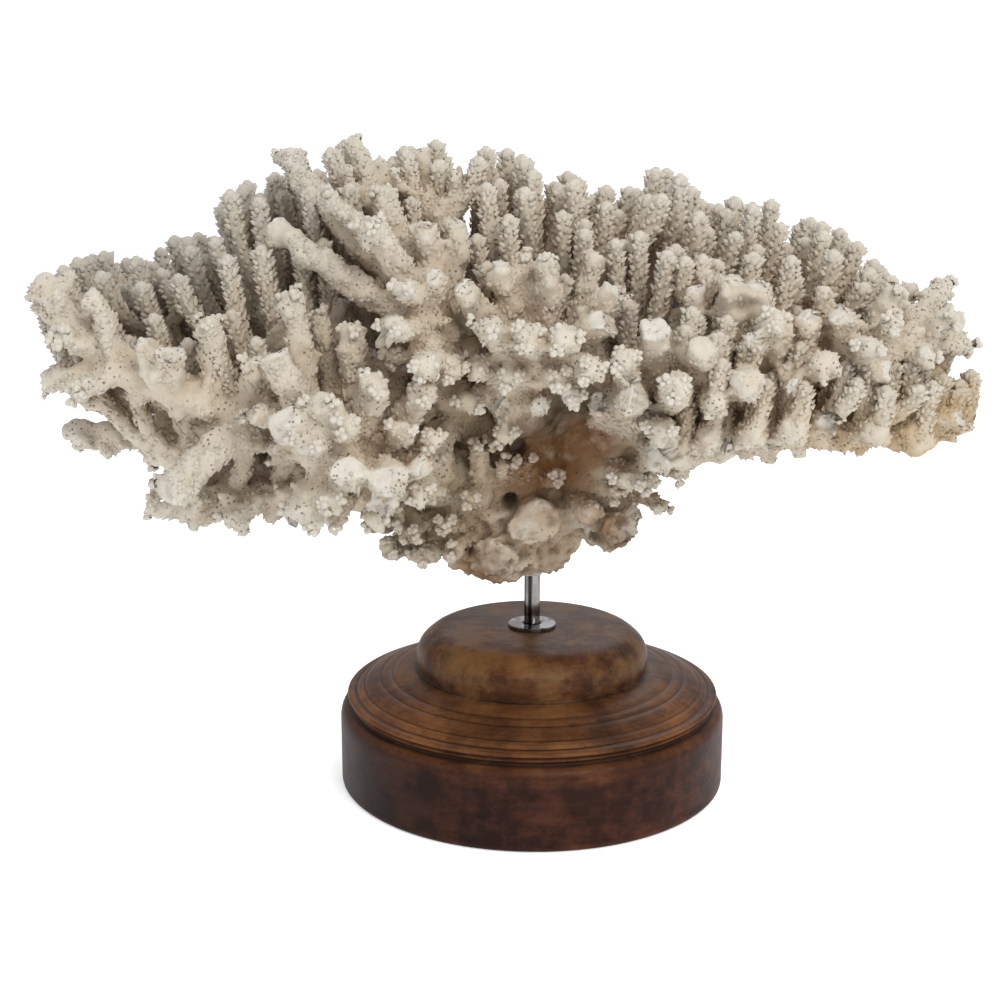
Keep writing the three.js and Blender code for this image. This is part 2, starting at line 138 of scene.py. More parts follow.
# Webs that fill the forks at the front, and branchlets on the foot, which only this model has.
HOLDFAST_WEBS = [
    ((30, -24, 172), (28, 20, 24)), ((52, -34, 182), (24, 18, 16)), ((-36, -22, 158), (22, 20, 18)),
    ((-2, -22, 166), (22, 16, 20)),
]
HOLDFAST_BUDS = [
    ((-44, -22, 136), (-60, -44, 136), 6), ((-48, -20, 132), (-70, -38, 128), 5),
    ((-40, -22, 130), (-54, -42, 124), 5.5), ((-52, -16, 134), (-76, -26, 138), 5.5),
    ((-46, -18, 142), (-66, -44, 146), 6), ((-34, -26, 140), (-42, -50, 142), 5.5),
    ((-32, -24, 130), (-40, -46, 128), 5), ((-38, -26, 152), (-46, -52, 158), 5.5),
    ((-28, -28, 150), (-30, -52, 156), 5), ((-26, -34, 154), (-26, -52, 180), 6),
    ((-16, -30, 156), (-14, -54, 172), 5), ((-8, -30, 158), (-4, -52, 174), 4.5),
    ((4, -32, 160), (10, -52, 166), 4.5), ((28, -34, 160), (38, -52, 158), 5),
    ((40, -36, 168), (50, -58, 164), 5), ((18, -32, 152), (26, -48, 148), 4.5),
    ((44, -30, 156), (60, -44, 150), 5), ((54, -34, 172), (66, -58, 168), 5),
]

# Hollows at the front of the foot, pushed in and darkened with painted shade: centre across and up, radius
# and depth.
HOLDFAST_HOLES = [
    ((-23, 184), 5.0, 16.0), ((-9, 176), 4.5, 14.0), ((-11, 150), 4.0, 12.0), ((30, 134), 3.5, 7.0),
    ((-30, 126), 3.5, 7.0),
]

# Limbs, as in the solids: path, radii at its ends, and broken stubs as (from, to, radius)
# or (from, bend, to, radius). The twigs are small stubs that only this model has, and no fingers
# rise from a bare limb.
LIMBS = [
    {"name": "limb_left", "radii": (15, 5.5), "path": [
        (-30, -10, 160), (-72, -38, 174), (-111, -58, 190), (-140, -70, 203), (-171, -70, 213),
        (-201, -63, 231), (-221, -54, 256),
    ], "stubs": [
        ((-143, -70, 200), (-142, -78, 239), 7), ((-160, -76, 208), (-158, -90, 230), 7),
        ((-190, -66, 216), (-222, -64, 212), 6.5),
        ((-112, -58, 190), (-136, -84, 188), (-158, -98, 169), 9),
        ((-132, -62, 194), (-150, -56, 182), (-175, -56, 176), 6),
    ], "twigs": [
        ((-195, -66, 226), (-208, -78, 234), 5), ((-165, -74, 208), (-172, -84, 234), 5),
        ((-182, -70, 216), (-196, -70, 254), 5), ((-120, -62, 192), (-124, -84, 222), 5.5),
        ((-205, -62, 234), (-226, -44, 246), 5), ((-185, -70, 216), (-200, -84, 210), 5),
        ((-162, -66, 206), (-180, -50, 200), (-200, -42, 207), 5.5),
        ((-104, -50, 187), (-94, -48, 214), (-88, -46, 248), 5.5), ((-120, -56, 194), (-112, -56, 238), 5),
    ]},
    {"name": "limb_front_left", "bare": True, "radii": (17, 13), "path": [
        (-30, -16, 158), (-62, -52, 170), (-84, -80, 182), (-94, -98, 190),
    ], "stubs": [
        ((-94, -92, 190), (-113, -102, 231), 8), ((-92, -92, 190), (-108, -117, 203), 9),
        ((-90, -90, 188), (-90, -112, 209), 8), ((-80, -82, 182), (-70, -102, 216), 8),
        ((-72, -72, 178), (-50, -94, 212), 7.5), ((-72, -74, 176), (-62, -120, 178), 9),
        ((-82, -82, 180), (-80, -120, 181), 9.5), ((-88, -86, 180), (-100, -102, 161), 9.5),
        ((-98, -88, 190), (-106, -76, 250), 6.5), ((-82, -76, 182), (-80, -80, 236), 6.5),
        ((-72, -66, 178), (-70, -72, 228), 6.5), ((-66, -60, 176), (-60, -66, 222), 6),
    ], "twigs": [
        ((-90, -92, 188), (-95, -120, 195), 7), ((-86, -90, 186), (-81, -115, 201), 6.5),
        ((-64, -62, 175), (-46, -86, 190), 6), ((-66, -66, 172), (-50, -96, 179), 6),
        ((-72, -70, 172), (-67, -106, 166), 8), ((-78, -66, 172), (-91, -88, 156), 6.5),
        ((-86, -80, 185), (-96, -62, 241), 5), ((-60, -50, 168), (-72, -82, 154), 6.5),
        ((-100, -90, 190), (-124, -96, 206), 6), ((-96, -84, 186), (-118, -88, 184), 6),
        ((-74, -70, 178), (-58, -100, 197), 5.5), ((-92, -86, 178), (-88, -110, 168), 6),
        ((-56, -44, 166), (-52, -78, 166), 6),
    ]},
    {"name": "limb_left_low", "bare": True, "radii": (12, 6), "path": [
        (-40, -18, 152), (-80, -34, 156), (-112, -42, 156), (-138, -48, 155), (-161, -54, 151),
    ], "stubs": [
        ((-108, -42, 157), (-116, -54, 147), 6), ((-112, -42, 156), (-142, -34, 163), (-177, -40, 157), 6),
    ], "twigs": [
        ((-132, -46, 155), (-136, -56, 146), 5), ((-96, -38, 156), (-108, -42, 165), (-120, -40, 172), 6.5),
        ((-90, -38, 157), (-96, -52, 148), 5), ((-145, -50, 154), (-160, -62, 145), 4.5),
        ((-122, -44, 154), (-140, -64, 150), 5), ((-150, -50, 148), (-176, -58, 152), 4.5),
    ]},
    {"name": "limb_left_stub", "bare": True, "radii": (10, 6.2), "path": [
        (-40, -4, 162), (-90, -12, 170), (-141, -15, 175), (-186, -12, 177), (-223, -10, 179),
    ], "stubs": [
        ((-96, -12, 170), (-140, -8, 166), (-182, -10, 164), 6),
    ], "twigs": [
        ((-176, -12, 177), (-184, 8, 184), 5), ((-150, -14, 175), (-162, -30, 184), 4.5),
    ]},
    {"name": "limb_upper_front", "radii": (15, 9), "path": [
        (-26, -14, 180), (-38, -42, 206), (-44, -62, 230), (-46, -72, 246),
    ], "stubs": [
        ((-46, -68, 240), (-72, -76, 280), 7.5), ((-48, -64, 236), (-86, -62, 258), (-119, -46, 281), 7),
        ((-46, -60, 238), (-86, -42, 278), (-114, -16, 309), 7),
        ((-44, -56, 240), (-66, -32, 280), (-85, -8, 314), 6.5), ((-46, -62, 244), (-69, -42, 293), 7),
        ((-44, -62, 240), (-49, -66, 284), 6.5), ((-42, -52, 236), (-46, -26, 280), (-54, -4, 313), 6.5),
        ((-44, -66, 236), (-61, -98, 240), 6.5), ((-44, -66, 232), (-48, -102, 224), 7),
        ((-34, -34, 200), (-46, -50, 176), 7),
    ], "twigs": [
        ((-40, -56, 235), (-34, -60, 284), 5.5), ((-44, -66, 240), (-66, -92, 239), 6),
        ((-46, -70, 244), (-56, -96, 256), 5.5), ((-44, -60, 228), (-62, -84, 226), 5.5),
        ((-42, -56, 222), (-36, -90, 222), 6), ((-46, -70, 244), (-44, -92, 262), 5.5),
        ((-40, -46, 212), (-54, -76, 208), 5.5), ((-38, -42, 206), (-30, -74, 204), 6),
        ((-60, -56, 262), (-92, -52, 292), 5),
    ]},
    {"name": "limb_centre_front", "radii": (15, 9), "path": [
        (-8, -14, 182), (-8, -44, 206), (0, -66, 220), (16, -76, 226),
    ], "stubs": [
        ((-6, -56, 214), (-34, -86, 258), 7), ((-4, -60, 216), (-18, -74, 266), 6.5),
        ((4, -68, 222), (5, -76, 264), 6.5), ((0, -66, 220), (-4, -104, 237), 7.5),
        ((10, -72, 222), (11, -108, 237), 7), ((14, -74, 224), (28, -98, 244), 7),
        ((14, -72, 224), (34, -84, 257), 7), ((-4, -58, 214), (-21, -100, 240), 7),
    ], "twigs": [
        ((0, -64, 218), (-6, -68, 266), 5), ((12, -74, 222), (22, -106, 224), 6),
        ((-8, -40, 202), (-18, -66, 200), 6), ((10, -66, 222), (28, -62, 270), 5),
        ((-6, -50, 210), (-26, -86, 222), 6), ((-4, -54, 212), (-12, -92, 218), 6),
        ((2, -60, 216), (8, -98, 218), 5.5), ((-8, -44, 206), (-30, -70, 206), 5.5),
        ((-4, -46, 206), (2, -78, 202), 6), ((8, -64, 218), (16, -94, 210), 5.5),
        ((-8, -34, 196), (-14, -62, 188), 6.5),
    ]},
    {"name": "limb_right_front", "radii": (16, 5.5), "path": [
        (14, -12, 172), (50, -46, 190), (81, -64, 206), (116, -68, 218), (154, -60, 228), (190, -46, 235),
    ], "stubs": [
        ((44, -42, 188), (39, -102, 213), 8), ((54, -50, 194), (48, -104, 242), 8),
        ((62, -56, 198), (57, -110, 217), 8), ((74, -62, 204), (67, -106, 232), 8),
        ((82, -64, 208), (83, -80, 261), 7), ((98, -66, 214), (95, -80, 259), 7),
        ((90, -66, 210), (86, -112, 219), 8), ((104, -68, 216), (101, -92, 242), 7),
        ((116, -68, 218), (121, -98, 224), 7.5), ((134, -64, 222), (130, -88, 246), 7),
        ((128, -66, 220), (153, -88, 220), 6.5), ((150, -62, 226), (170, -76, 226), 6),
        ((166, -56, 230), (190, -24, 250), 6),
    ], "twigs": [
        ((46, -42, 190), (36, -104, 228), 6.5), ((70, -60, 204), (70, -70, 256), 5.5),
        ((116, -68, 218), (116, -88, 246), 6), ((138, -64, 224), (140, -98, 232), 5.5),
        ((160, -58, 228), (196, -44, 226), 5.5), ((58, -50, 194), (62, -92, 230), 6),
        ((90, -66, 210), (91, -96, 236), 5.5), ((110, -68, 216), (108, -100, 214), 5.5),
        ((76, -62, 204), (74, -104, 208), 5.5), ((144, -64, 224), (152, -84, 240), 5.5),
        ((172, -54, 231), (184, -64, 240), 5), ((34, -34, 184), (28, -72, 206), 6.5),
        ((36, -36, 184), (46, -80, 200), 6), ((100, -52, 200), (140, -48, 201), (184, -42, 213), 7),
        ((124, -50, 212), (158, -40, 210), (192, -34, 222), 6), ((148, -52, 224), (172, -48, 206), 6),
        ((44, -40, 188), (30, -48, 214), (24, -50, 232), 6), ((108, -58, 214), (124, -52, 196), 6.5),
        ((58, -32, 180), (70, -50, 186), (88, -56, 192), 7.5),
        ((30, -48, 216), (34, -28, 224), (40, -12, 227), 6.5),
        ((86, -46, 192), (102, -54, 197), (122, -50, 199), 7.5),
        ((108, -56, 208), (132, -54, 210), (152, -46, 214), 7), ((62, -52, 197), (64, -58, 246), 5),
        ((86, -60, 208), (76, -62, 250), 5), ((124, -62, 219), (126, -68, 252), 5),
        ((146, -58, 226), (158, -60, 252), 5),
    ]},
    {"name": "limb_right_low", "bare": True, "radii": (12, 5.5), "path": [
        (18, -8, 160), (58, -32, 173), (94, -48, 184), (130, -56, 189), (163, -60, 191), (192, -60, 205),
    ], "stubs": [
        ((160, -60, 190), (193, -56, 188), 7), ((154, -60, 191), (169, -76, 184), 6),
        ((136, -56, 188), (147, -90, 194), 8), ((106, -50, 184), (110, -96, 196), 7),
        ((56, -34, 174), (54, -84, 182), 8), ((78, -42, 180), (74, -88, 191), 7.5),
        ((92, -48, 183), (93, -90, 194), 7), ((76, -42, 179), (92, -64, 202), 7.5),
        ((124, -56, 188), (142, -72, 214), 7.5), ((154, -60, 191), (176, -70, 213), 7),
    ], "twigs": [
        ((60, -36, 176), (54, -94, 196), 6.5), ((118, -54, 187), (124, -72, 189), 6),
        ((150, -60, 190), (150, -50, 182), 5), ((120, -54, 187), (126, -88, 200), 6),
        ((172, -60, 195), (190, -72, 198), 5), ((40, -22, 168), (42, -66, 168), 6.5),
        ((66, -36, 176), (64, -76, 178), 6), ((140, -58, 189), (158, -80, 202), 5.5),
        ((84, -44, 181), (84, -74, 186), 5.5), ((104, -50, 185), (102, -78, 187), 5.5),
    ]},
    {"name": "limb_left_back", "radii": (15, 5.5), "path": [
        (-30, 4, 172), (-80, 4, 190), (-130, 8, 206), (-180, 12, 222), (-216, 14, 236),
    ], "stubs": [
        ((-140, 8, 208), (-180, -24, 214), (-220, -22, 222), 7), ((-196, 13, 228), (-234, 4, 242), 6.5),
        ((-180, 12, 222), (-214, 40, 232), 6.5),
    ]},
    {"name": "limb_back_left", "radii": (15, 6), "path": [
        (-26, 16, 170), (-68, 44, 194), (-108, 70, 212), (-150, 84, 226), (-180, 82, 238),
    ], "stubs": [
        ((-108, 70, 212), (-116, 106, 218), 7.5), ((-150, 84, 226), (-192, 56, 232), 6.5),
        ((-84, 55, 202), (-80, 104, 212), 8),
    ]},
    {"name": "limb_back", "radii": (16, 7), "path": [
        (-8, 18, 176), (-14, 52, 200), (-22, 86, 214), (-28, 110, 224),
    ], "stubs": [
        ((-16, 62, 204), (18, 96, 214), (30, 116, 222), 8), ((-22, 86, 214), (-54, 112, 220), 7.5),
        ((-14, 52, 200), (-50, 74, 206), 7.5),
    ]},
    {"name": "limb_back_right", "radii": (15, 6), "path": [
        (12, 14, 172), (50, 42, 194), (86, 70, 208), (122, 86, 218), (152, 78, 226),
    ], "stubs": [
        ((86, 70, 208), (80, 110, 214), 7.5), ((122, 86, 218), (124, 112, 222), 7),
    ]},
    {"name": "limb_right_back", "radii": (15, 5.5), "path": [
        (16, 2, 174), (62, 8, 196), (112, 14, 212), (160, 16, 224), (198, 8, 232),
    ], "stubs": [
        ((120, 14, 214), (164, 44, 222), (192, 46, 226), 7), ((100, 13, 208), (112, -26, 216), 7),
        ((150, 16, 222), (176, -16, 228), 6.5),
    ]},
    {"name": "limb_centre", "radii": (19, 11), "path": [
        (-10, 4, 190), (-14, 2, 216), (-18, 4, 238),
    ], "stubs": [
        ((-12, 2, 212), (-50, 26, 238), 8), ((-14, 2, 218), (26, 16, 240), 8),
        ((-14, 2, 216), (-52, -8, 240), 7.5), ((-14, 2, 218), (22, -24, 240), 7.5),
    ]},
]

# Cross branches between limbs: shortest and longest, how many of the possible ones there are, how far
# from the middle they may start, and the most that their own middle is raised.
LINK_REACH = (20.0, 52.0)
LINK_SHARE = 0.6
LINK_HALF_LENGTH = 165.0
LINK_RISE = 7.0

# Radii along each kind of branch: shares of its length, and the radii there, or for a lobe
# the shares of its stub's radius.
TAPERS = {
    "branch": ((0, 0.3, 0.6, 1), (6.2, 4.6, 3.7, 3.2)),
    "fine": ((0, 0.25, 0.6, 1), (4.8, 3.9, 3.6, 3.3)),
    "riser": ((0, 0.3, 0.7, 1), (5.2, 4.5, 3.9, 3.0)),
    "link": ((0, 1), (4.6, 4.6)),
    "twig": ((0, 0.5, 1), (3.6, 3.2, 2.6)),
    "lobe": ((0, 0.6, 1), (0.76, 0.64, 0.46)),
    "stub_nub": ((0, 0.6, 1), (3.4, 3.1, 2.4)),
    "limb_nub": ((0, 0.5, 1), (4.2, 3.8, 2.6)),
}

# Fingers that rise from the front stubs of the right wing: how far right and forward the stubs are,
# shares of the stub where they start, their lengths, and the least rise of one.
RISERS = {"from_x": 58.0, "from_y": -18.0, "shares": (0.42, 0.66, 0.86, 1.0), "length": (16.0, 38.0)}
RISER_LEAST = 10.0

# Stub ends: some are broken flat, and the others end in lobes.
STUB_TAPER = 0.8
FLAT_SHARE = 0.4

# Nubs: their steps along stubs and limbs, where the first one on a limb is, and their tilt.
STUB_NUB_STEP = 9.0
NUB_STEP = 13.0
FIRST_NUB = 42.0
NUB_TILT = math.radians(52)
TWIGS_EACH = 3

# The limbs that the front hides, which are made a little coarser.
BACK_LIMBS = (
    "limb_left_back", "limb_back_left", "limb_back", "limb_back_right", "limb_right_back", "limb_centre",
)
BACK_CUP_AREA = 1.3

# Surface work.
SKIN_VOXEL = 2.0
BACK_SKIN_VOXEL = 3.0
SKIN_SMOOTHING = 3
SKIN_SHARE = 0.42
CUP_SIDES = 5
# Cups by kind: surface area for each one, share of the route where they start, lean, radius, length,
# sunk depth, depth of the pit, and how dark the painted shade on the lip and in the pit is.
CUP_LOOKS = {
    "finger": {"area": 10.8, "start": 0.12, "lean": 0.9, "radius": 1.2, "length": 2.4, "sunk": 0.4,
               "depth": 0.9, "lip_pit": 0.0, "pit": 0.3},
    "stub": {"area": 11.5, "start": 0.15, "lean": 0.82, "radius": 1.3, "length": 2.3, "sunk": 0.4,
             "depth": 0.8, "lip_pit": 0.0, "pit": 0.3},
    "nub": {"area": 11.5, "start": 0.25, "lean": 0.82, "radius": 1.3, "length": 2.2, "sunk": 0.4,
            "depth": 0.8, "lip_pit": 0.0, "pit": 0.3},
    # Cups on limbs are flat pores, dark dots of painted shade.
    "limb": {"area": 46.0, "start": 0.12, "lean": 0.1, "radius": 0.62, "length": 0.4, "sunk": 0.15,
             "depth": 0.5, "lip_pit": 0.35, "pit": 1.0},
}
# Beads on the ends of lobes: radius, length, and the shares of them at the ring in the middle.
BEAD_RADIUS = 1.6
BEAD_LENGTH = 2.6
BEAD_MIDDLE = (0.78, 0.62)
# Where the cups of a finger start to be open, and those of a flat stub end, as shares of its length.
OPEN_CUP_SHARE = 0.7
FLAT_CUP_END = 0.86
# How far a cup may be from the skin, what a lean takes from its outward direction, and patches without cups.
CUP_REACH = 2.6
LEAN_LOSS = 0.35
CUP_PATCH = {"size": 15.0, "least": -0.26}
# An open cup's lip: how much longer it is on the outer side, its share of the radius and its whiteness.
LIP_SKEW = 0.38
LIP_WIDTH = 0.66
LIP_WHITENESS = 0.22
GOLDEN_ANGLE = math.radians(137.508)
TIP_SIDE_CUPS = 4
TIP_CUP_LEAN = math.radians(22)


# Chance and small vector helpers

def chance(index, use):
    """A number from 0 to 1 that is always the same for the same index and use."""
    state = (index * 7919 + use * 104729 + 12345) & 0xFFFFFFFF
    for _ in range(3):
        state = (state * 1664525 + 1013904223) & 0xFFFFFFFF
    return state / 4294967296


def unit(v):
    return v / max(np.linalg.norm(v), 1e-9)


def smoothstep(low, high, value):
    t = np.clip((value - low) / (high - low), 0, 1)
    return t * t * (3 - 2 * t)


def curve_through(points, steps_each):
    """A smooth run of points through the given ones."""
    p = np.array([points[0], *points, points[-1]], float)
    run = []
    for i in range(1, len(p) - 2):
        a, b, c, d = p[i - 1], p[i], p[i + 1], p[i + 2]
        for step in range(steps_each):
            t = step / steps_each
            square = (2 * a - 5 * b + 4 * c - d) * t * t
            cube = (3 * b - a - 3 * c + d) * t ** 3
            run.append(0.5 * (2 * b + (c - a) * t + square + cube))
    run.append(p[-2])
    return np.array(run)


def lengths_along(points):
    """The distance of each point from the first, along the route."""
    return np.concatenate([[0], np.cumsum(np.linalg.norm(np.diff(points, axis=0), axis=1))])


def read_along(distances, lengths, rows):
    """Rows of three numbers, read at those distances."""
    return np.stack([np.interp(distances, lengths, rows[:, k]) for k in range(3)], -1)


def bent_route(start, end, count):
    """A finger's route: outwards from its root first, then up to its tip."""
    bend = start + BEND_OUTWARDS * (end - start)
    bend[2] = start[2] + BEND_UPWARDS * (end[2] - start[2])
    t = np.linspace(0, 1, count)[:, None]
    return (1 - t) ** 2 * start + 2 * t * (1 - t) * bend + t ** 2 * end


# Skeleton: routes with a radius at every point

def canopy_height(x, y):
    """Height of the highest fingers over a place."""
    height = np.interp(x, *zip(*SKYLINE))
    to_right = min(max((x + 30) / 60, 0), 1)
    front_depth = FRONT_FALL["left"] + (FRONT_FALL["right"] - FRONT_FALL["left"]) * to_right
    forward = max(FRONT_FALL["starts"] - y, 0) / FRONT_FALL["reach"]
    backward = max(y - BACK_FALL["starts"], 0) / BACK_FALL["reach"]
    front_fall = front_depth * forward ** FRONT_FALL["bend"]
    return height - front_fall - BACK_FALL["depth"] * backward ** BACK_FALL["bend"]


def inside_colony(x, y):
    depth = COLONY["front"] if y < COLONY["y"] else COLONY["back"]
    u = abs(x - COLONY["x"]) / COLONY["half_length"]
    v = abs(y - COLONY["y"]) / depth
    return u ** COLONY["squareness"] + v ** COLONY["squareness"] <= 1


def canopy_tips(spacing, jitter, seed, rise, variation, front=0.0):
    """Finger tips on a triangular grid that is moved a little at random."""
    tips = []
    row_step = spacing * math.sqrt(3) / 2
    rows = math.ceil(COLONY["back"] / row_step) + 1
    columns = math.ceil(COLONY["half_length"] / spacing) + 1
    for row in range(-rows, rows + 1):
        for column in range(-columns, columns + 1):
            index = (row + 50) * 100 + column + 50 + seed
            shift = 0.5 if abs(row) % 2 == 1 else 0
            x = COLONY["x"] + (column + shift) * spacing + (chance(index, 1) - 0.5) * jitter
            y = COLONY["y"] + row * row_step + (chance(index, 2) - 0.5) * jitter
            is_open = any(low < x <= high and y < below - front for low, high, below in OPEN_FRONT)
            if inside_colony(x, y) and not is_open:
                z = canopy_height(x, y) + rise - chance(index, 3) * variation
                tips.append((np.array([x, y, z]), index))
    return tips


def root_places(routes, share=1.0):
    """Places along the routes where fingers may start: limb numbers and points."""
    limbs = []
    places = []
    for route in routes:
        if LIMBS[route["limb"]].get("bare"):
            continue
        points = route["points"]
        last = max(int((len(points) - 1) * share), 1)
        for a, b in zip(points[:last], points[1:last + 1]):
            for part in (0, 0.25, 0.5, 0.75):
                limbs.append(route["limb"])
                places.append(a + part * (b - a))
    return np.array(limbs), np.array(places)


def root_of(tip, limbs, places, min_rise):
    """The nearest place that a finger with this tip can start from, counted mostly along the ground."""
    rise = tip[2] - places[:, 2]
    inward = tip[:2] - FINGER_LEAN * (tip[:2] - np.array([COLONY["x"], COLONY["y"]]))
    reach = np.hypot(places[:, 0] - inward[0], places[:, 1] - inward[1])
    cost = reach + RISE_COST * rise
    cost[(rise <= min_rise) | (reach >= FINGER_MAX_REACH)] = np.inf
    best = int(np.argmin(cost))
    if not np.isfinite(cost[best]):
        return None, None
    return int(limbs[best]), places[best].copy()


def strand(limb, points, taper, kind, size=1.0, **more):
    """A route whose radius follows one of the tapers, times a size."""
    radii = size * np.interp(np.linspace(0, 1, len(points)), *TAPERS[taper])
    return {"limb": limb, "points": points, "radii": radii, "kind": kind, **more}


def stub_with_knobs(limb, corners, radius, number):
    """A stub, and the nubs, lobes or fingers that grow on it."""
    points = curve_through(corners, 12 // (len(corners) - 1))
    radii = radius * np.linspace(1.0, STUB_TAPER, len(points))
    is_flat = chance(number, 31) < FLAT_SHARE
    stub = {"limb": limb, "points": points, "radii": radii, "kind": "stub", "flat": is_flat}
    rising = risers(stub, number)
    knobs = side_nubs(stub, number) + rising
    if not is_flat and not rising:
        knobs += end_lobes(stub, number)
    return stub, knobs


def fingers_to(tips, limbs, places, min_rise, taper, count, size):
    """Fingers to the tips, each from the nearest place. Size is the least one and how far it varies."""
    fingers = []
    for tip, index in tips:
        limb, place = root_of(tip, limbs, places, min_rise)
        if limb is not None:
            scale = size[0] + size[1] * chance(index, 5)
            fingers.append(strand(limb, bent_route(place, tip, count), taper, "finger", scale, index=index))
    return fingers


def build_routes():
    """Limbs, stubs, twigs and fingers of the whole coral."""
    coarse = []
    routes = []
    knobs = []
    for limb, spec in enumerate(LIMBS):
        path = np.array(spec["path"], float)
        coarse.append({"limb": limb, "points": path})
        points = curve_through(path, 6)
        radii = np.linspace(*spec["radii"], len(points))
        routes.append({"limb": limb, "points": points, "radii": radii, "kind": "limb"})
        for kind in ("stubs", "twigs"):
            for *corners, radius in spec.get(kind, ()):
                if kind == "stubs":
                    coarse.append({"limb": limb, "points": np.array(corners, float)})
                stub, on_stub = stub_with_knobs(limb, corners, radius, len(routes))
                routes.append(stub)
                knobs += on_stub
    limbs, places = root_places(coarse)
    tips = canopy_tips(BRANCH_SPACING, BRANCH_JITTER, 0, 0, TIP_VARIATION)
    branches = fingers_to(tips, limbs, places, FINGER_MIN_RISE, "branch", 14, (1.0, 0.0))
    fork_limbs, fork_places = root_places(branches, FORK_SHARE)
    limbs = np.concatenate([limbs, fork_limbs])
    places = np.concatenate([places, fork_places])
    taken = np.array([b["points"][-1][:2] for b in branches])
    tips = canopy_tips(FINGER_SPACING, FINGER_JITTER, 7, FINE_TIP_RISE, FINE_TIP_VARIATION, FINE_FRONT)
    tips = [t for t in tips if np.min(np.hypot(*(taken - t[0][:2]).T)) >= FINE_CLEARANCE]
    fingers = fingers_to(tips, limbs, places, FINE_MIN_RISE, "fine", 13, (0.86, 0.3))
    limb_routes = [r for r in routes if r["kind"] == "limb"]
    nubs = [nub for number, route in enumerate(limb_routes) for nub in nubs_on(route, number)]
    return routes + knobs + nubs + links_between(limb_routes) + branches + side_twigs(branches) + fingers


def links_between(limb_routes):
    """Cross branches where neighbouring limbs have grown together."""
    links = []
    for number, route in enumerate(limb_routes):
        limb = route["limb"]
        for k in range(6, len(route["points"]) - 3, 3):
            index = number * 100 + k
            start = route["points"][k]
            if abs(start[0]) > LINK_HALF_LENGTH:
                continue
            for other in limb_routes[number + 1:]:
                gaps = np.linalg.norm(other["points"] - start, axis=1)
                nearest = int(np.argmin(gaps))
                if LINK_REACH[0] < gaps[nearest] < LINK_REACH[1] and chance(index, 51) < LINK_SHARE:
                    end = other["points"][min(nearest + 2, len(other["points"]) - 1)]
                    middle = (start + end) / 2 + np.array([0, 0, LINK_RISE * chance(index, 52)])
                    links.append(strand(limb, curve_through([start, middle, end], 6), "link", "stub"))
    return links


def side_twigs(branches):
    """Short branchlets on the lower half of the main fingers."""
    twigs = []
    for branch in branches:
        points = branch["points"]
        for k in range(TWIGS_EACH):
            index = branch["index"] * TWIGS_EACH + k
            at = int((0.22 + 0.4 * chance(index, 53)) * (len(points) - 1))
            way = unit(points[at + 1] - points[at])
            outward = around(way, 2 * math.pi * chance(index, 54), NUB_TILT)
            length = 12 + 10 * chance(index, 55)
            bend = points[at] + outward * length * 0.6
            end = points[at] + outward * length + np.array([0, 0, length * 0.35])
            twigs.append(strand(branch["limb"], curve_through([points[at], bend, end], 4), "twig", "nub"))
    return twigs


def around(way, angle, tilt):
    """A direction that leans away from the given one by the tilt, towards the angle round it."""
    guide = np.array([0.0, 0.0, 1.0]) if abs(way[2]) < 0.9 else np.array([1.0, 0.0, 0.0])
    across = unit(np.cross(way, guide))
    other = np.cross(across, way)
    return math.cos(tilt) * way + math.sin(tilt) * (math.cos(angle) * across + math.sin(angle) * other)


def end_lobes(stub, index):
    """The knobbly end of a stub: blunt lobes that spread a little from it."""
    lobes = []
    end = stub["points"][-1]
    way = unit(end - stub["points"][-3])
    size = stub["radii"][-1]
    start = end - way * size
    count = 2 + int(2.6 * chance(index, 32))
    for k in range(count):
        angle = 2 * math.pi * (k + 0.6 * chance(index + k, 33)) / count
        tilt = math.radians(20 + 34 * chance(index + k, 34))
        reach = start + around(way, angle, tilt) * size * (1.1 + 0.75 * chance(index + k, 35))
        lobes.append(strand(stub["limb"], curve_through([start, reach], 5), "lobe", "nub", size, beads=True))
    return lobes


def risers(stub, index):
    """Toothed fingers that rise from a front stub of the right wing."""
    end = stub["points"][-1]
    if end[0] < RISERS["from_x"] or end[1] > RISERS["from_y"]:
        return []
    fingers = []
    shortest, longest = RISERS["length"]
    for k, share in enumerate(RISERS["shares"]):
        number = index * 10 + k
        place = stub["points"][int(share * (len(stub["points"]) - 1))]
        way = unit(np.array([0.42 * chance(number, 71) - 0.02, 0.2 - 0.5 * chance(number, 72), 1.0]))
        tip = place + way * (shortest + (longest - shortest) * chance(number, 73))
        tip[2] = min(tip[2], canopy_height(tip[0], tip[1]) - 3)
        if tip[2] - place[2] >= RISER_LEAST:
            size = 0.85 + 0.3 * chance(number, 74)
            fingers.append(strand(stub["limb"], bent_route(place, tip, 9), "riser", "finger", size))
    return fingers


def side_nubs(stub, index):
    """Small buds along a stub."""
    buds = []
    points, radii = stub["points"], stub["radii"]
    length = np.linalg.norm(points[-1] - points[0])
    for k in range(int(length / STUB_NUB_STEP)):
        number = index * 10 + k
        share = 0.3 + 0.6 * chance(number, 36)
        at = min(int(share * (len(points) - 1)), len(points) - 2)
        way = unit(points[at + 1] - points[at])
        outward = around(way, 2 * math.pi * chance(number, 37), NUB_TILT)
        reach = points[at] + outward * (radii[at] + 1.0 + 3.5 * chance(number, 38))
        buds.append(strand(stub["limb"], curve_through([points[at], reach], 4), "stub_nub", "nub"))
    return buds


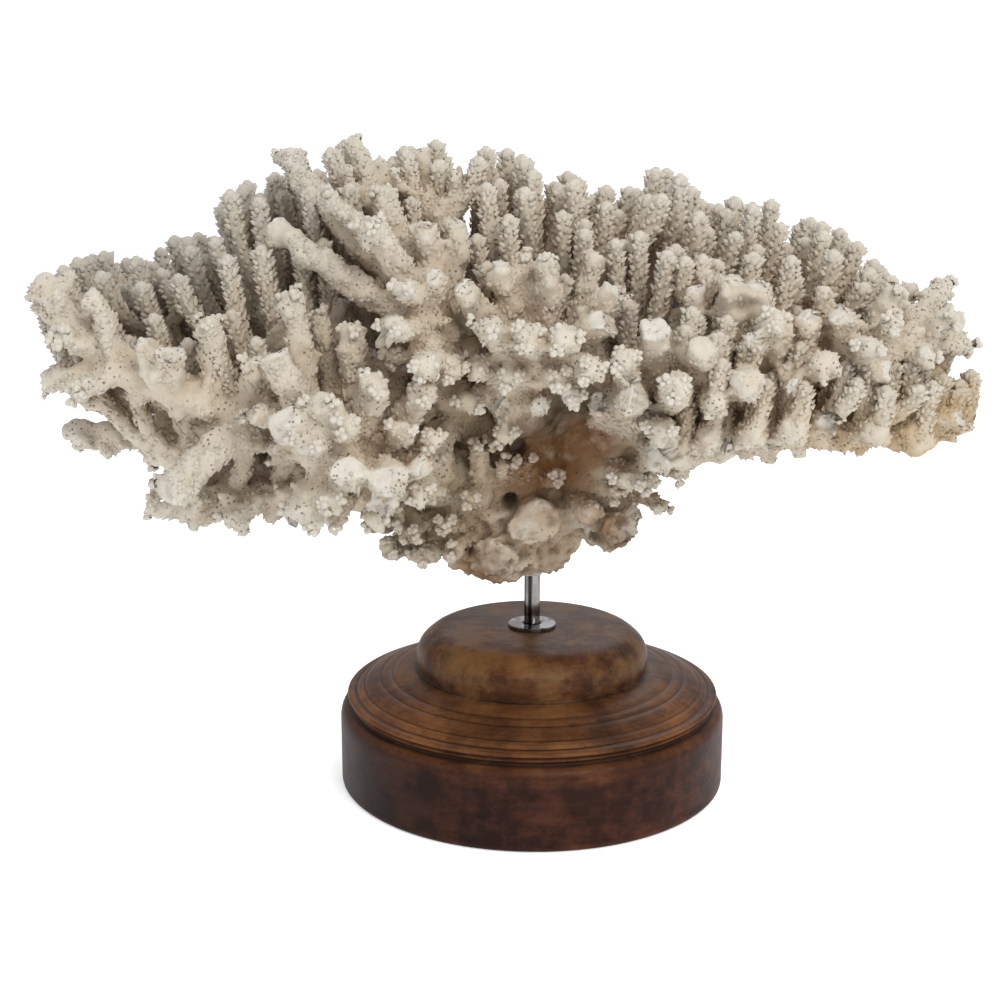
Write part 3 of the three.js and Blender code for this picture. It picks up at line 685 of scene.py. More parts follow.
def nubs_on(route, number):
    """Short side buds along a limb, most of them towards its sides and underside."""
    nubs = []
    points = route["points"]
    lengths = lengths_along(points)
    distance = FIRST_NUB
    while distance < lengths[-1]:
        index = number * 1000 + int(distance * 10)
        place = read_along(distance, lengths, points)
        radius = np.interp(distance, lengths, route["radii"])
        ahead = read_along(distance + 2, lengths, points)
        along = unit(ahead - place) if distance + 2 < lengths[-1] else unit(points[-1] - points[-2])
        side = unit(np.cross(along, (0, 0, 1)))
        angle = math.radians(-250 + 320 * chance(index, 11))
        outward = math.cos(angle) * side + math.sin(angle) * np.cross(side, along)
        length = 2 + 6 * chance(index, 12)
        end = place + outward * (radius + length) + along * length * 0.8
        run = curve_through([place, place + outward * radius * 0.7, end], 4)
        nubs.append(strand(route["limb"], run, "limb_nub", "nub"))
        distance += NUB_STEP * (0.45 + 0.6 * chance(index, 13)) * 0.5
    return nubs


# Mesh building. A shell is a dict of points, triangles and one value per point for each mark

MARKS = ("whiteness", "pit", "broken", "pores")


def frames_along(points):
    """Two directions across a route at each point, without twist."""
    along = np.gradient(points, axis=0)
    along /= np.linalg.norm(along, axis=1)[:, None] + 1e-9
    guide = np.array([0.0, 1.0, 0.0]) if abs(along[:, 2].mean()) > 0.7 else np.array([0.0, 0.0, 1.0])
    across = np.cross(along, guide)
    across /= np.linalg.norm(across, axis=1)[:, None] + 1e-9
    return along, across, np.cross(along, across)


def tube(points, radii, sides, tip_round=0.7):
    """A closed tube with a rounded end. A tip_round near 0 leaves the end flat, as if broken."""
    along, across, other = frames_along(points)
    rings = [(p, r, k) for k, (p, r) in enumerate(zip(points, radii))]
    last = len(points) - 1
    rings.append((points[-1] + along[-1] * radii[-1] * tip_round * 0.7, radii[-1] * 0.72, last))
    angles = np.arange(sides) * 2 * math.pi / sides
    vertices = []
    for place, radius, k in rings:
        twist = 0.35 * k
        turned = np.cos(angles + twist)[:, None] * across[k] + np.sin(angles + twist)[:, None] * other[k]
        vertices.append(place + radius * turned)
    vertices = np.concatenate(vertices + [points[:1], points[-1:] + along[-1:] * radii[-1] * tip_round])
    ring_count = len(rings)
    start, end = ring_count * sides, ring_count * sides + 1
    triangles = []
    for ring in range(ring_count - 1):
        for s in range(sides):
            a, b = ring * sides + s, ring * sides + (s + 1) % sides
            triangles += [(a, b, b + sides), (a, b + sides, a + sides)]
    for s in range(sides):
        n = (s + 1) % sides
        triangles.append((start, n, s))
        top = (ring_count - 1) * sides
        triangles.append((end, top + s, top + n))
    return vertices, np.array(triangles)


def shell(vertices, triangles, **marks):
    """A shell with all its marks filled in."""
    count = len(vertices)
    full = {name: np.broadcast_to(np.asarray(marks.get(name, 0.0), float), (count,)) for name in MARKS}
    return {"v": vertices, "t": triangles, **full}


def stacked(shapes):
    """Points and triangles of several shapes as one pair of arrays."""
    offsets = np.cumsum([0] + [len(v) for v, _ in shapes[:-1]])
    triangles = np.concatenate([t + offset for (_, t), offset in zip(shapes, offsets)])
    return np.concatenate([v for v, _ in shapes]), triangles


def mesh_from(name, vertices, triangles, smooth=True):
    """A Blender mesh in metres from arrays in millimetres."""
    mesh = bpy.data.meshes.new(name)
    mesh.vertices.add(len(vertices))
    mesh.vertices.foreach_set("co", (np.asarray(vertices) * MM).astype(np.float32).ravel())
    mesh.loops.add(len(triangles) * 3)
    mesh.loops.foreach_set("vertex_index", np.asarray(triangles, np.int32).ravel())
    mesh.polygons.add(len(triangles))
    mesh.polygons.foreach_set("loop_start", np.arange(len(triangles), dtype=np.int32) * 3)
    mesh.polygons.foreach_set("use_smooth", np.full(len(triangles), smooth))
    mesh.update(calc_edges=True)
    mesh.validate()
    return mesh


def add_object(name, mesh):
    obj = bpy.data.objects.new(name, mesh)
    bpy.context.scene.collection.objects.link(obj)
    return obj


def set_mark(mesh, name, values):
    attribute = mesh.attributes.new(name, "FLOAT", "POINT")
    attribute.data.foreach_set("value", np.asarray(values, np.float32))


def remeshed(vertices, triangles, voxel):
    """The fused outer surface of overlapping closed shapes, in millimetres, with its quads as triangles."""
    rough = add_object("rough", mesh_from("rough", vertices, triangles))
    modifier = rough.modifiers.new("fuse", "REMESH")
    modifier.mode = "VOXEL"
    modifier.voxel_size = voxel * MM
    graph = bpy.context.evaluated_depsgraph_get()
    fused = bpy.data.meshes.new_from_object(rough.evaluated_get(graph))
    bpy.data.objects.remove(rough)
    points = np.empty(len(fused.vertices) * 3, np.float32)
    fused.vertices.foreach_get("co", points)
    fused.calc_loop_triangles()
    corners = np.empty(len(fused.loop_triangles) * 3, np.int32)
    fused.loop_triangles.foreach_get("vertices", corners)
    bpy.data.meshes.remove(fused)
    return points.reshape(-1, 3).astype(float) / MM, corners.reshape(-1, 3)


def smoothed(points, triangles, rounds):
    """Relaxes a surface without shrinking it much."""
    edges = np.concatenate([triangles[:, [0, 1]], triangles[:, [1, 2]], triangles[:, [2, 0]]])
    degree = np.bincount(edges[:, 0], minlength=len(points)).astype(float)
    degree[degree == 0] = 1
    for number in range(rounds * 2):
        pull = 0.55 if number % 2 == 0 else -0.57
        total = np.zeros_like(points)
        for k in range(3):
            total[:, k] = np.bincount(edges[:, 0], points[edges[:, 1], k], len(points))
        points = points + pull * (total / degree[:, None] - points)
    return points


def normals_of(points, triangles):
    a, b, c = (points[triangles[:, k]] for k in range(3))
    faces = np.cross(b - a, c - a)
    normals = np.zeros_like(points)
    for k in range(3):
        for axis in range(3):
            normals[:, axis] += np.bincount(triangles[:, k], faces[:, axis], len(points))
    return normals / (np.linalg.norm(normals, axis=1)[:, None] + 1e-9)


def roughened(points, normals, size, height):
    """Moves points along their normals by a steady noise of that grain size."""
    shift = np.array([noise.noise(Vector(p / size)) for p in points])
    return points + normals * (shift * height)[:, None]


# Cups: the small tubular mouths that cover the fingers

def cups(bases, directions, uppers, radii, lengths, is_open, whiteness, look=None):
    """Many little cups: tubes with a pit and a longer outer lip, or points where not open.

    Without a look they are beads, with a wide ring between their foot and their top.
    """
    guide = np.where(np.abs(directions[:, 2:3]) > 0.9, np.array([[1.0, 0, 0]]), np.array([[0, 0, 1.0]]))
    across = np.cross(directions, guide)
    across /= np.linalg.norm(across, axis=1)[:, None]
    other = np.cross(directions, across)
    angles = np.arange(CUP_SIDES) * 2 * math.pi / CUP_SIDES
    ring = np.cos(angles)[None, :, None] * across[:, None] + np.sin(angles)[None, :, None] * other[:, None]
    outer = -np.einsum("nsk,nk->ns", ring, uppers)
    s = np.arange(CUP_SIDES)
    n = (s + 1) % CUP_SIDES
    wall = [np.stack([s, n, n + CUP_SIDES], 1), np.stack([s, n + CUP_SIDES, s + CUP_SIDES], 1)]
    cap = np.stack([s, n, np.full(CUP_SIDES, CUP_SIDES)], 1)
    shells = []
    for opened in (True, False):
        chosen = is_open == opened
        count = int(chosen.sum())
        if count == 0:
            continue
        base, way = bases[chosen][:, None], directions[chosen][:, None]
        radius, length = radii[chosen][:, None, None], lengths[chosen][:, None, None]
        rings = [base + ring[chosen] * radius]
        end = base + way * length
        lip_marks, end_marks = (LIP_WHITENESS, 0.0), (LIP_WHITENESS, 0.0)
        if opened:
            lip_length = length * (1 + LIP_SKEW * outer[chosen][:, :, None])
            rings.append(base + way * lip_length + ring[chosen] * radius * LIP_WIDTH)
            end = base + way * (length - radius * look["depth"])
            # Painted shade: an open cup's pit is marked dark, and on pores its lip too.
            lip_marks, end_marks = (LIP_WHITENESS, look["lip_pit"]), (0.0, look["pit"])
        elif look is None:
            rings.append(base + way * length * BEAD_MIDDLE[1] + ring[chosen] * radius * BEAD_MIDDLE[0])
        block = np.concatenate([*rings, end], axis=1)
        pattern = np.concatenate([*wall, cap + CUP_SIDES] if len(rings) == 2 else [cap])
        counts = [CUP_SIDES, CUP_SIDES * (len(rings) - 1), 1]
        white, pit = (np.repeat([0.0, lip_marks[k], end_marks[k]], counts) for k in range(2))
        triangles = (pattern[None] + (np.arange(count) * block.shape[1])[:, None, None]).reshape(-1, 3)
        shells.append(shell(block.reshape(-1, 3), triangles, pit=np.tile(pit, count),
                            whiteness=(whiteness[chosen][:, None] + white).ravel()))
    return shells


def cup_places(route, number):
    """Cup centres on one route, as rows of place, outward and along directions, share and radius."""
    points, radii, look = route["points"], route["radii"], CUP_LOOKS[route["kind"]]
    lengths = lengths_along(points)
    crowding = BACK_CUP_AREA if LIMBS[route["limb"]]["name"] in BACK_LIMBS else 1.0
    step = look["area"] * crowding / (2 * math.pi * radii.mean())
    last = lengths[-1] * (FLAT_CUP_END if route.get("flat") else 1)
    distances = np.arange(look["start"] * lengths[-1], last - 0.4, step)
    if len(distances) == 0:
        return None
    turn = (np.arange(len(distances)) * GOLDEN_ANGLE) + number * 1.7
    turn += 0.5 * np.sin(np.arange(len(distances)) * 12.9898 + number)
    along, across, other = frames_along(points)
    centre, forward, a, b = (read_along(distances, lengths, rows) for rows in (points, along, across, other))
    outward = np.cos(turn)[:, None] * a + np.sin(turn)[:, None] * b
    outward /= np.linalg.norm(outward, axis=1)[:, None]
    return centre, outward, forward, distances / lengths[-1], np.interp(distances, lengths, radii)


def cups_on(route, number, tree):
    """The cups of one route. Those over the fused skin are set on its surface."""
    found = cup_places(route, number)
    if found is None:
        return []
    centre, outward, forward, shares, radius = found
    kind = route["kind"]
    look = CUP_LOOKS[kind]
    lean = look["lean"]
    surface = centre + outward * (radius[:, None] - 0.4)
    directions = outward * (1 - LEAN_LOSS * lean) + forward * lean
    seeds = np.sin(np.arange(len(surface)) * 78.233 + number * 3.1) * 43758.5453
    wobble = seeds - np.floor(seeds)
    keep = np.ones(len(surface), bool)
    on_skin = shares < SKIN_SHARE if kind == "finger" else keep.copy()
    for i in np.nonzero(on_skin)[0]:
        place, normal, _, _ = tree.find_nearest(Vector(surface[i]), CUP_REACH)
        if place is None:
            keep[i] = False
            continue
        surface[i] = np.array(place) - look["sunk"] * np.array(normal)
        directions[i] = np.array(normal) * (1 - LEAN_LOSS * lean) + forward[i] * lean
        if kind in ("stub", "nub") and noise.noise(place / CUP_PATCH["size"]) < CUP_PATCH["least"]:
            keep[i] = False
    directions /= np.linalg.norm(directions, axis=1)[:, None]
    is_open = np.full(len(surface), kind == "limb")
    white = np.zeros(len(surface))
    if kind == "finger":
        is_open = shares > OPEN_CUP_SHARE
        white = 0.3 * smoothstep(0.75, 1.0, shares)
    columns = (surface, directions, forward, look["radius"] * (0.85 + 0.3 * wobble),
               look["length"] * (0.75 + 0.5 * wobble), is_open, white)
    shells = cups(*(column[keep] for column in columns), look)
    if kind == "finger":
        shells += tip_cups(route)
    if route.get("beads"):
        shells += end_beads(route, number)
    return shells


def route_end(route):
    """A route's last point, its direction there and its radius."""
    tip = route["points"][-1]
    return tip, unit(tip - route["points"][-2]), route["radii"][-1]


def end_beads(route, number):
    """Small rounded knobs round the end of a lobe."""
    tip, way, size = route_end(route)
    count = 4 + int(3 * chance(number, 61))
    ways = [around(way, 2 * math.pi * (k + 0.5 * chance(number + k, 62)) / count,
                   math.radians(22 + 50 * chance(number + k, 63))) for k in range(count)]
    bases = np.array([tip + turned * size * 0.75 for turned in ways])
    scale = np.array([0.7 + 0.5 * chance(number + k, 64) for k in range(count)])
    return cups(bases, np.array(ways), np.repeat(way[None], count, axis=0), BEAD_RADIUS * scale,
                BEAD_LENGTH * scale, np.zeros(count, bool), np.full(count, 0.25))


def tip_cups(route):
    """The open tube at a finger's end, with smaller ones leaning against it."""
    tip, way, size = route_end(route)
    bases = [tip - way * size * 0.2]
    ways = [way]
    for k in range(TIP_SIDE_CUPS):
        leaning = around(way, 2 * math.pi * k / TIP_SIDE_CUPS + size * 9, TIP_CUP_LEAN)
        bases.append(tip + (leaning - way * math.cos(TIP_CUP_LEAN)) * size * 1.5 - way * size * 0.5)
        ways.append(leaning)
    count = len(bases)
    radii = size * np.array([0.62] + [0.56] * TIP_SIDE_CUPS)
    lengths = size * np.array([1.1] + [0.95] * TIP_SIDE_CUPS)
    return cups(np.array(bases), np.array(ways), np.repeat(way[None], count, axis=0), radii, lengths,
                np.ones(count, bool), np.full(count, 0.3), CUP_LOOKS["finger"])


# Openness: how much of the sky each place sees, worked out on a coarse grid

OPEN_STEP = 8.0
OPEN_REACH = 70.0
OPEN_RAYS = 24
OPEN_OFFSET = 4.0
OPEN_CORNER = np.array([-248.0, -132.0, 100.0])
OPEN_COUNTS = (60, 34, 30)


def openness_grid(routes):
    """The share of rays that leave the coral, for each point of a grid round it."""
    shapes = [tube(r["points"][::3], r["radii"][::3] + 0.8, 5) for r in routes if len(r["points"]) > 6]
    shapes += [lump_shape(centre, half) for centre, half in HOLDFAST_LUMPS]
    vertices, triangles = stacked(shapes)
    tree = BVHTree.FromPolygons(vertices.tolist(), triangles.tolist())
    rays = []
    for k in range(OPEN_RAYS):
        z = 1 - 2 * (k + 0.5) / OPEN_RAYS
        side = math.sqrt(1 - z * z)
        rays.append(Vector((side * math.cos(k * GOLDEN_ANGLE), side * math.sin(k * GOLDEN_ANGLE), z)))
    grid = np.zeros(OPEN_COUNTS)
    for cell in np.ndindex(*OPEN_COUNTS):
        place = Vector(OPEN_CORNER + OPEN_STEP * np.array(cell))
        grid[cell] = sum(tree.ray_cast(place, ray, OPEN_REACH)[0] is None for ray in rays) / OPEN_RAYS
    return grid


def openness_at(points, grid):
    """Openness at many places, read between the grid's points."""
    place = np.clip((points - OPEN_CORNER) / OPEN_STEP, 0, np.array(grid.shape) - 1.001)
    cell = place.astype(int)
    part = place - cell
    value = np.zeros(len(points))
    for corner in np.ndindex(2, 2, 2):
        bits = np.array(corner[::-1])
        weight = np.prod(np.where(bits, part, 1 - part), axis=1)
        i, j, k = (cell + bits).T
        value += weight * grid[i, j, k]
    return value


# Stains, as place, radius and strength, for tan parts, for dull painted shade on the left of the canopy, and
# for rust, ochre and olive-brown dirt

STAINS_AND_SHADE = {
    "tan": [((-12, -4, 132), 74, 0.9), ((-14, -30, 160), 46, 0.75), ((40, -40, 150), 34, 0.8),
            ((-30, -30, 190), 40, 0.5)],
    # Dull painted shade on the left of the canopy.
    "painted_left_shade": [((-178, 20, 268), 74, 0.8), ((-120, 30, 300), 44, 0.5)],
    "rust": [((8, -44, 170), 27, 1.0), ((22, -44, 180), 22, 0.9), ((-24, -34, 116), 15, 0.9),
             ((34, -46, 144), 13, 0.6), ((-6, -44, 158), 15, 0.7), ((44, -44, 128), 13, 0.7)],
    "ochre": [((150, -66, 188), 30, 0.9), ((185, -58, 196), 26, 1.0), ((120, -72, 196), 24, 0.45),
              ((168, -74, 178), 16, 0.8)],
    "olive": [((-62, -30, 146), 26, 0.8), ((-40, -44, 150), 20, 0.6), ((-28, -40, 190), 14, 0.4)],
}


def stain_and_shade_strength(points, blobs):
    total = np.zeros(len(points))
    for centre, radius, strength in blobs:
        distance = np.linalg.norm(points - np.array(centre, float), axis=1)
        total = np.maximum(total, strength * (1 - smoothstep(0.35 * radius, 1.25 * radius, distance)))
    return total


# Coral pieces

# Grain sizes and heights that roughen a limb's skin.
SKIN_GRAINS = ((9.0, 1.9), (4.2, 1.5))

# Tubes: sides of those that are fused and of a finger's stem, and how round flat and other ends are.
FUSED_SIDES = 10
STEM_SIDES = 6
FLAT_END = 0.15
ROUND_END = 0.75
STEM_END = 0.9

# The two faces of a break: turn about the stub, least tilt, and how far out it passes.
BREAKS = ((0.0, 14.0, 0.0), (2.6, 44.0, 0.3))
BREAK_ROUGHNESS = 2.0

# The part of a stub's end that a break presses flat: behind and ahead of the break, and across in radii.
BREAK_BEHIND = 1.6
BREAK_AHEAD = 5.5
BREAK_WIDTH = 1.3

# The foot: bumps and a fine grain as size and height, ridges as size, octaves, level and height, and
# between which heights the ridges fade upwards, by how much.
FOOT_BUMPS = (17.0, 4.0)
FOOT_FINE = (3.0, 0.9)
FOOT_RIDGES = {"size": 9.0, "octaves": 4, "level": 1.2, "height": 2.9}
FOOT_GRAIN = {"size": 4.2, "octaves": 2, "level": 1.0, "height": 0.9}
FOOT_FADE = {"from": 138, "to": 156, "share": 0.75}

# Broken ends of the foot's roots, and of its one cleaner root: roughness, and how white the break is.
ROOT_BREAK = (4.5, 0.25)
SMOOTH_BREAK = (0.5, 0.1)

# Small cups on the foot: the share of its points that have one, and the height where they start.
FOOT_CUP_SHARE = 0.035
FOOT_CUPS_FROM = 136


def skin_of(routes, voxel):
    """The fused skin of limbs, stubs, nubs and the lower part of every finger."""
    shapes = []
    for route in routes:
        points, radii = route["points"], route["radii"]
        if route["kind"] == "finger":
            last = int(round(SKIN_SHARE * (len(points) - 1))) + 1
            points = points[:last]
            radii = radii[:last] * np.linspace(1.12, 0.92, last)
        shapes.append(tube(points, radii, FUSED_SIDES, FLAT_END if route.get("flat") else ROUND_END))
    points, triangles = remeshed(*stacked(shapes), voxel)
    points = smoothed(points, triangles, SKIN_SMOOTHING)
    normals = normals_of(points, triangles)
    for size, height in SKIN_GRAINS:
        points = roughened(points, normals, size, height)
    broken = np.zeros(len(points))
    for number, route in enumerate(routes):
        if route.get("flat"):
            end, radius = route["points"][-1], route["radii"][-1]
            ahead = unit(end - route["points"][-3])
            for side, least, out in BREAKS:
                tilt = math.radians(least + 16 * chance(number, 42))
                way = around(ahead, 7.0 * chance(number, 41) + side, tilt)
                mark = broken_off(points, end + ahead * radius * out, way, radius, BREAK_ROUGHNESS)
                broken = np.maximum(broken, mark)
    return shell(points, triangles, broken=broken, pores=1.0)


def broken_off(points, end, way, radius, roughness):
    """Presses the points beyond a break back to a rough plane, and returns the mark of the broken face."""
    ahead = (points - end) @ way
    aside = np.linalg.norm(points - end - ahead[:, None] * way, axis=1)
    near = (aside < BREAK_WIDTH * radius) & (ahead > -BREAK_BEHIND) & (ahead < BREAK_AHEAD)
    grain = np.array([
        noise.noise(Vector(p / 4.5)) + 0.5 * noise.noise(Vector(p / 1.9)) for p in points[near]
    ])
    points[near] -= ((ahead[near] + BREAK_BEHIND - roughness * grain)[:, None]) * way
    mark = np.zeros(len(points))
    mark[near] = 1 - smoothstep(1.1, 1.5, aside[near] / radius)
    return mark


def coral_piece(name, routes, number_from, grid, voxel):
    """One limb of the coral: fused skin, finger stems and cups in one mesh."""
    skin = skin_of(routes, voxel)
    tree = BVHTree.FromPolygons([Vector(p) for p in skin["v"]], skin["t"].tolist())
    shells = [skin]
    for number, route in enumerate(routes, number_from):
        if route["kind"] == "finger":
            first = int(SKIN_SHARE * (len(route["points"]) - 1)) - 1
            points, radii = route["points"][first:], route["radii"][first:]
            v, t = tube(points, radii, STEM_SIDES, STEM_END)
            share = np.clip((v[:, 2] - points[0][2]) / max(points[-1][2] - points[0][2], 1), 0, 1)
            shells.append(shell(v, t, whiteness=0.3 * smoothstep(0.7, 1.0, share)))
        shells += cups_on(route, number, tree)
    return finished_coral(name, shells, grid)


def finished_coral(name, shells, grid):
    """One coral object from its shells, with their marks, openness, stains and painted shade."""
    points, triangles = stacked([(part["v"], part["t"]) for part in shells])
    mesh = mesh_from(name, points, triangles)
    for mark in MARKS:
        set_mark(mesh, mark, np.concatenate([part[mark] for part in shells]))
    outside = points + OPEN_OFFSET * normals_of(points, triangles)
    set_mark(mesh, "openness", openness_at(outside, grid))
    for stain, blobs in STAINS_AND_SHADE.items():
        set_mark(mesh, stain, stain_and_shade_strength(points, blobs))
    return add_object(name, mesh)


def lump_shape(centre, half):
    """A closed ball stretched to the half sizes."""
    rows, columns = 12, 20
    vertices = [(0.0, 0.0, 1.0)]
    for row in range(1, rows):
        angle = math.pi * row / rows
        for column in range(columns):
            turn = 2 * math.pi * column / columns
            side = math.sin(angle)
            vertices.append((side * math.cos(turn), side * math.sin(turn), math.cos(angle)))
    vertices.append((0.0, 0.0, -1.0))
    triangles = []
    for column in range(columns):
        n = (column + 1) % columns
        triangles.append((0, 1 + column, 1 + n))
        base = 1 + (rows - 2) * columns
        triangles.append((len(vertices) - 1, base + n, base + column))
        for row in range(rows - 2):
            a, b = 1 + row * columns + column, 1 + row * columns + n
            triangles += [(a, a + columns, b + columns), (a, b + columns, b)]
    return np.array(vertices) * np.array(half, float) + np.array(centre, float), np.array(triangles)


def holdfast_branches():
    """The foot's broken root ends, and its branchlets with their lobes."""
    roots = []
    for start, end, radius in HOLDFAST_ROOTS:
        points = curve_through([start, end], 10)
        roots.append({"points": points, "radii": radius * np.linspace(1.0, 0.95, len(points))})
    buds = []
    for number, (start, end, radius) in enumerate(HOLDFAST_BUDS):
        points = curve_through([start, end], 8)
        radii = radius * np.linspace(1.1, 0.7, len(points))
        bud = {"limb": 0, "points": points, "radii": radii, "kind": "nub"}
        buds += [bud, *end_lobes(bud, 500 + number)]
    return roots, buds


def ridges(points, look):
    """Ridged noise at each point, for crumbly relief."""
    return np.array([
        noise.ridged_multi_fractal(Vector(p / look["size"]), 0.9, 2.1, look["octaves"], 1.0, 2.0)
        for p in points
    ])


def holdfast_skin(roots, buds):
    """The crumbly foot, with broken root ends, hollows darkened with painted shade and a flat seat for the
    cement.
    """
    shapes = [lump_shape(centre, half) for centre, half in HOLDFAST_LUMPS + HOLDFAST_WEBS]
    shapes += [tube(root["points"], root["radii"], 14, 0.12) for root in roots]
    shapes += [tube(bud["points"], bud["radii"], 10, 0.8) for bud in buds]
    points, triangles = remeshed(*stacked(shapes), HOLDFAST_VOXEL)
    points = smoothed(points, triangles, SKIN_SMOOTHING)
    normals = normals_of(points, triangles)
    points = roughened(points, normals, *FOOT_BUMPS)
    crumbly = 1 - FOOT_FADE["share"] * smoothstep(FOOT_FADE["from"], FOOT_FADE["to"], points[:, 2])
    # Painted shade in the valleys between the ridges.
    hollow = smoothstep(1.25, 0.55, ridges(points, FOOT_RIDGES)) * crumbly
    for look in (FOOT_RIDGES, FOOT_GRAIN):
        relief = ridges(points, look) - look["level"]
        points = points + normals * (relief * look["height"] * crumbly)[:, None]
    points = roughened(points, normals, *FOOT_FINE)
    broken = np.zeros(len(points))
    for number, root in enumerate(roots):
        end = root["points"][-1]
        way = around(unit(end - root["points"][0]), 7.0 * chance(number, 43), math.radians(12))
        roughness, share = SMOOTH_BREAK if number == SMOOTH_ROOT else ROOT_BREAK
        mark = broken_off(points, end, way, root["radii"][-1], roughness)
        broken = np.maximum(broken, share * mark)
    for (across, up), radius, depth in HOLDFAST_HOLES:
        gap = np.hypot(points[:, 0] - across, points[:, 2] - up) / radius
        inside = (gap < 1.3) & (points[:, 1] < -14)
        points[inside, 1] += depth * (1 - smoothstep(0.3, 1.3, gap[inside]))
        # Painted shade in the pushed-in hollows.
        hollow[inside] = np.maximum(hollow[inside], 1 - smoothstep(0.6, 1.3, gap[inside]))
    flat = (points[:, 2] < CORAL_SEAT) & (np.hypot(points[:, 0], points[:, 1]) < SEAT_CUT_RADIUS)
    points[flat, 2] = CORAL_SEAT
    return shell(points, triangles, broken=broken, pit=0.8 * hollow, pores=0.6)


def holdfast_piece(name, grid):
    """The foot, the webs between limbs and small branchlets, with cups on them."""
    roots, buds = holdfast_branches()
    skin = holdfast_skin(roots, buds)
    points, triangles = skin["v"], skin["t"]
    normals = normals_of(points, triangles)
    tree = BVHTree.FromPolygons([Vector(p) for p in points], triangles.tolist())
    picks = [i for i in range(len(points)) if chance(i, 21) < FOOT_CUP_SHARE
             and points[i][2] > FOOT_CUPS_FROM and skin["broken"][i] < 0.1]
    count = len(picks)
    wobble = np.array([chance(i, 22) for i in picks])
    small = cups(points[picks] - 0.2 * normals[picks], normals[picks], normals[picks], 0.7 + 0.35 * wobble,
                 0.4 + 0.3 * wobble, np.ones(count, bool), np.zeros(count), CUP_LOOKS["limb"])
    for number, bud in enumerate(buds):
        small += cups_on(bud, 900 + number, tree)
    return finished_coral(name, [skin, *small], grid)


# Materials

def node_material(name):
    material = bpy.data.materials.new(name)
    material.use_nodes = True
    tree = material.node_tree
    shader = tree.nodes["Principled BSDF"]
    return material, tree, shader


def mix_colors(tree, factor, first, second, blend="MIX"):
    """A colour mix. Each input is a socket or a plain value."""
    mix = tree.nodes.new("ShaderNodeMix")
    mix.data_type = "RGBA"
    mix.blend_type = blend
    for socket, value in ((mix.inputs[0], factor), (mix.inputs[6], first), (mix.inputs[7], second)):
        if isinstance(value, bpy.types.NodeSocket):
            tree.links.new(value, socket)
        elif isinstance(value, (int, float)):
            socket.default_value = value
        else:
            socket.default_value = (*value, 1.0)
    return mix.outputs[2]


def math_node(tree, operation, first, second=0.0, clamp=False):
    node = tree.nodes.new("ShaderNodeMath")
    node.operation = operation
    node.use_clamp = clamp
    for socket, value in ((node.inputs[0], first), (node.inputs[1], second)):
        if isinstance(value, bpy.types.NodeSocket):
            tree.links.new(value, socket)
        else:
            socket.default_value = value
    return node.outputs[0]


def times(tree, value, factor):
    return math_node(tree, "MULTIPLY", value, factor)


def layered(tree, base, color, share, most, blend="MIX"):
    """A colour laid over the base: share is a socket from 0 to 1, and most is what 1 stands for."""
    return mix_colors(tree, times(tree, share, most), base, color, blend)


def attribute(tree, name):
    node = tree.nodes.new("ShaderNodeAttribute")
    node.attribute_name = name
    return node.outputs["Fac"]


def noise_value(tree, scale, detail=3.0, roughness=0.55, vector=None):
    node = tree.nodes.new("ShaderNodeTexNoise")
    node.inputs["Scale"].default_value = scale
    node.inputs["Detail"].default_value = detail
    node.inputs["Roughness"].default_value = roughness
    if vector is None:
        vector = object_place(tree)
    tree.links.new(vector, node.inputs["Vector"])
    return node.outputs["Fac"]


def object_place(tree):
    return tree.nodes.new("ShaderNodeTexCoord").outputs["Object"]


def color_ramp(tree, factor, stops):
    """A ramp through (position, colour) stops."""
    node = tree.nodes.new("ShaderNodeValToRGB")
    ramp = node.color_ramp
    while len(ramp.elements) < len(stops):
        ramp.elements.new(0.5)
    for element, (position, color) in zip(ramp.elements, stops):
        element.position = position
        element.color = (*color, 1.0)
    tree.links.new(factor, node.inputs["Fac"])
    return node.outputs["Color"]


def spread(tree, value, low, high):
    """The value stretched so that low becomes 0 and high becomes 1."""
    node = tree.nodes.new("ShaderNodeMapRange")
    node.inputs["From Min"].default_value = low
    node.inputs["From Max"].default_value = high
    tree.links.new(value, node.inputs["Value"])
    return node.outputs["Result"]


def bump(tree, shader, height, strength, distance):
    node = tree.nodes.new("ShaderNodeBump")
    node.inputs["Strength"].default_value = strength
    node.inputs["Distance"].default_value = distance
    tree.links.new(height, node.inputs["Height"])
    tree.links.new(node.outputs["Normal"], shader.inputs["Normal"])


# Colours from the hollows to the open sides, darker in the hollows as painted shade over a real tan, the
# tints of the stains and of the painted shade with the most of each, and layers over them.
CORAL_TONES_AND_SHADE = [
    (0.08, (0.33, 0.225, 0.14)), (0.20, (0.44, 0.345, 0.245)), (0.34, (0.53, 0.445, 0.34)),
    (0.50, (0.575, 0.505, 0.405)), (0.76, (0.60, 0.555, 0.475)),
]
STAIN_AND_SHADE_TINTS = {
    # The second tint is painted shade on the left of the canopy.
    "tan": ((0.385, 0.272, 0.165), 0.9), "painted_left_shade": ((0.36, 0.33, 0.275), 0.8),
    "rust": ((0.20, 0.093, 0.033), 1.0), "ochre": ((0.42, 0.28, 0.115), 0.75),
    "olive": ((0.25, 0.19, 0.09), 0.8),
}
CORAL_GREY = (0.46, 0.43, 0.37)
CORAL_WHITE = (0.64, 0.61, 0.55)
CORAL_GRAIN = (0.45, 0.38, 0.29)
PORE_SHADE = (0.13, 0.08, 0.05)
PIT_SHADE = (0.13, 0.08, 0.045)


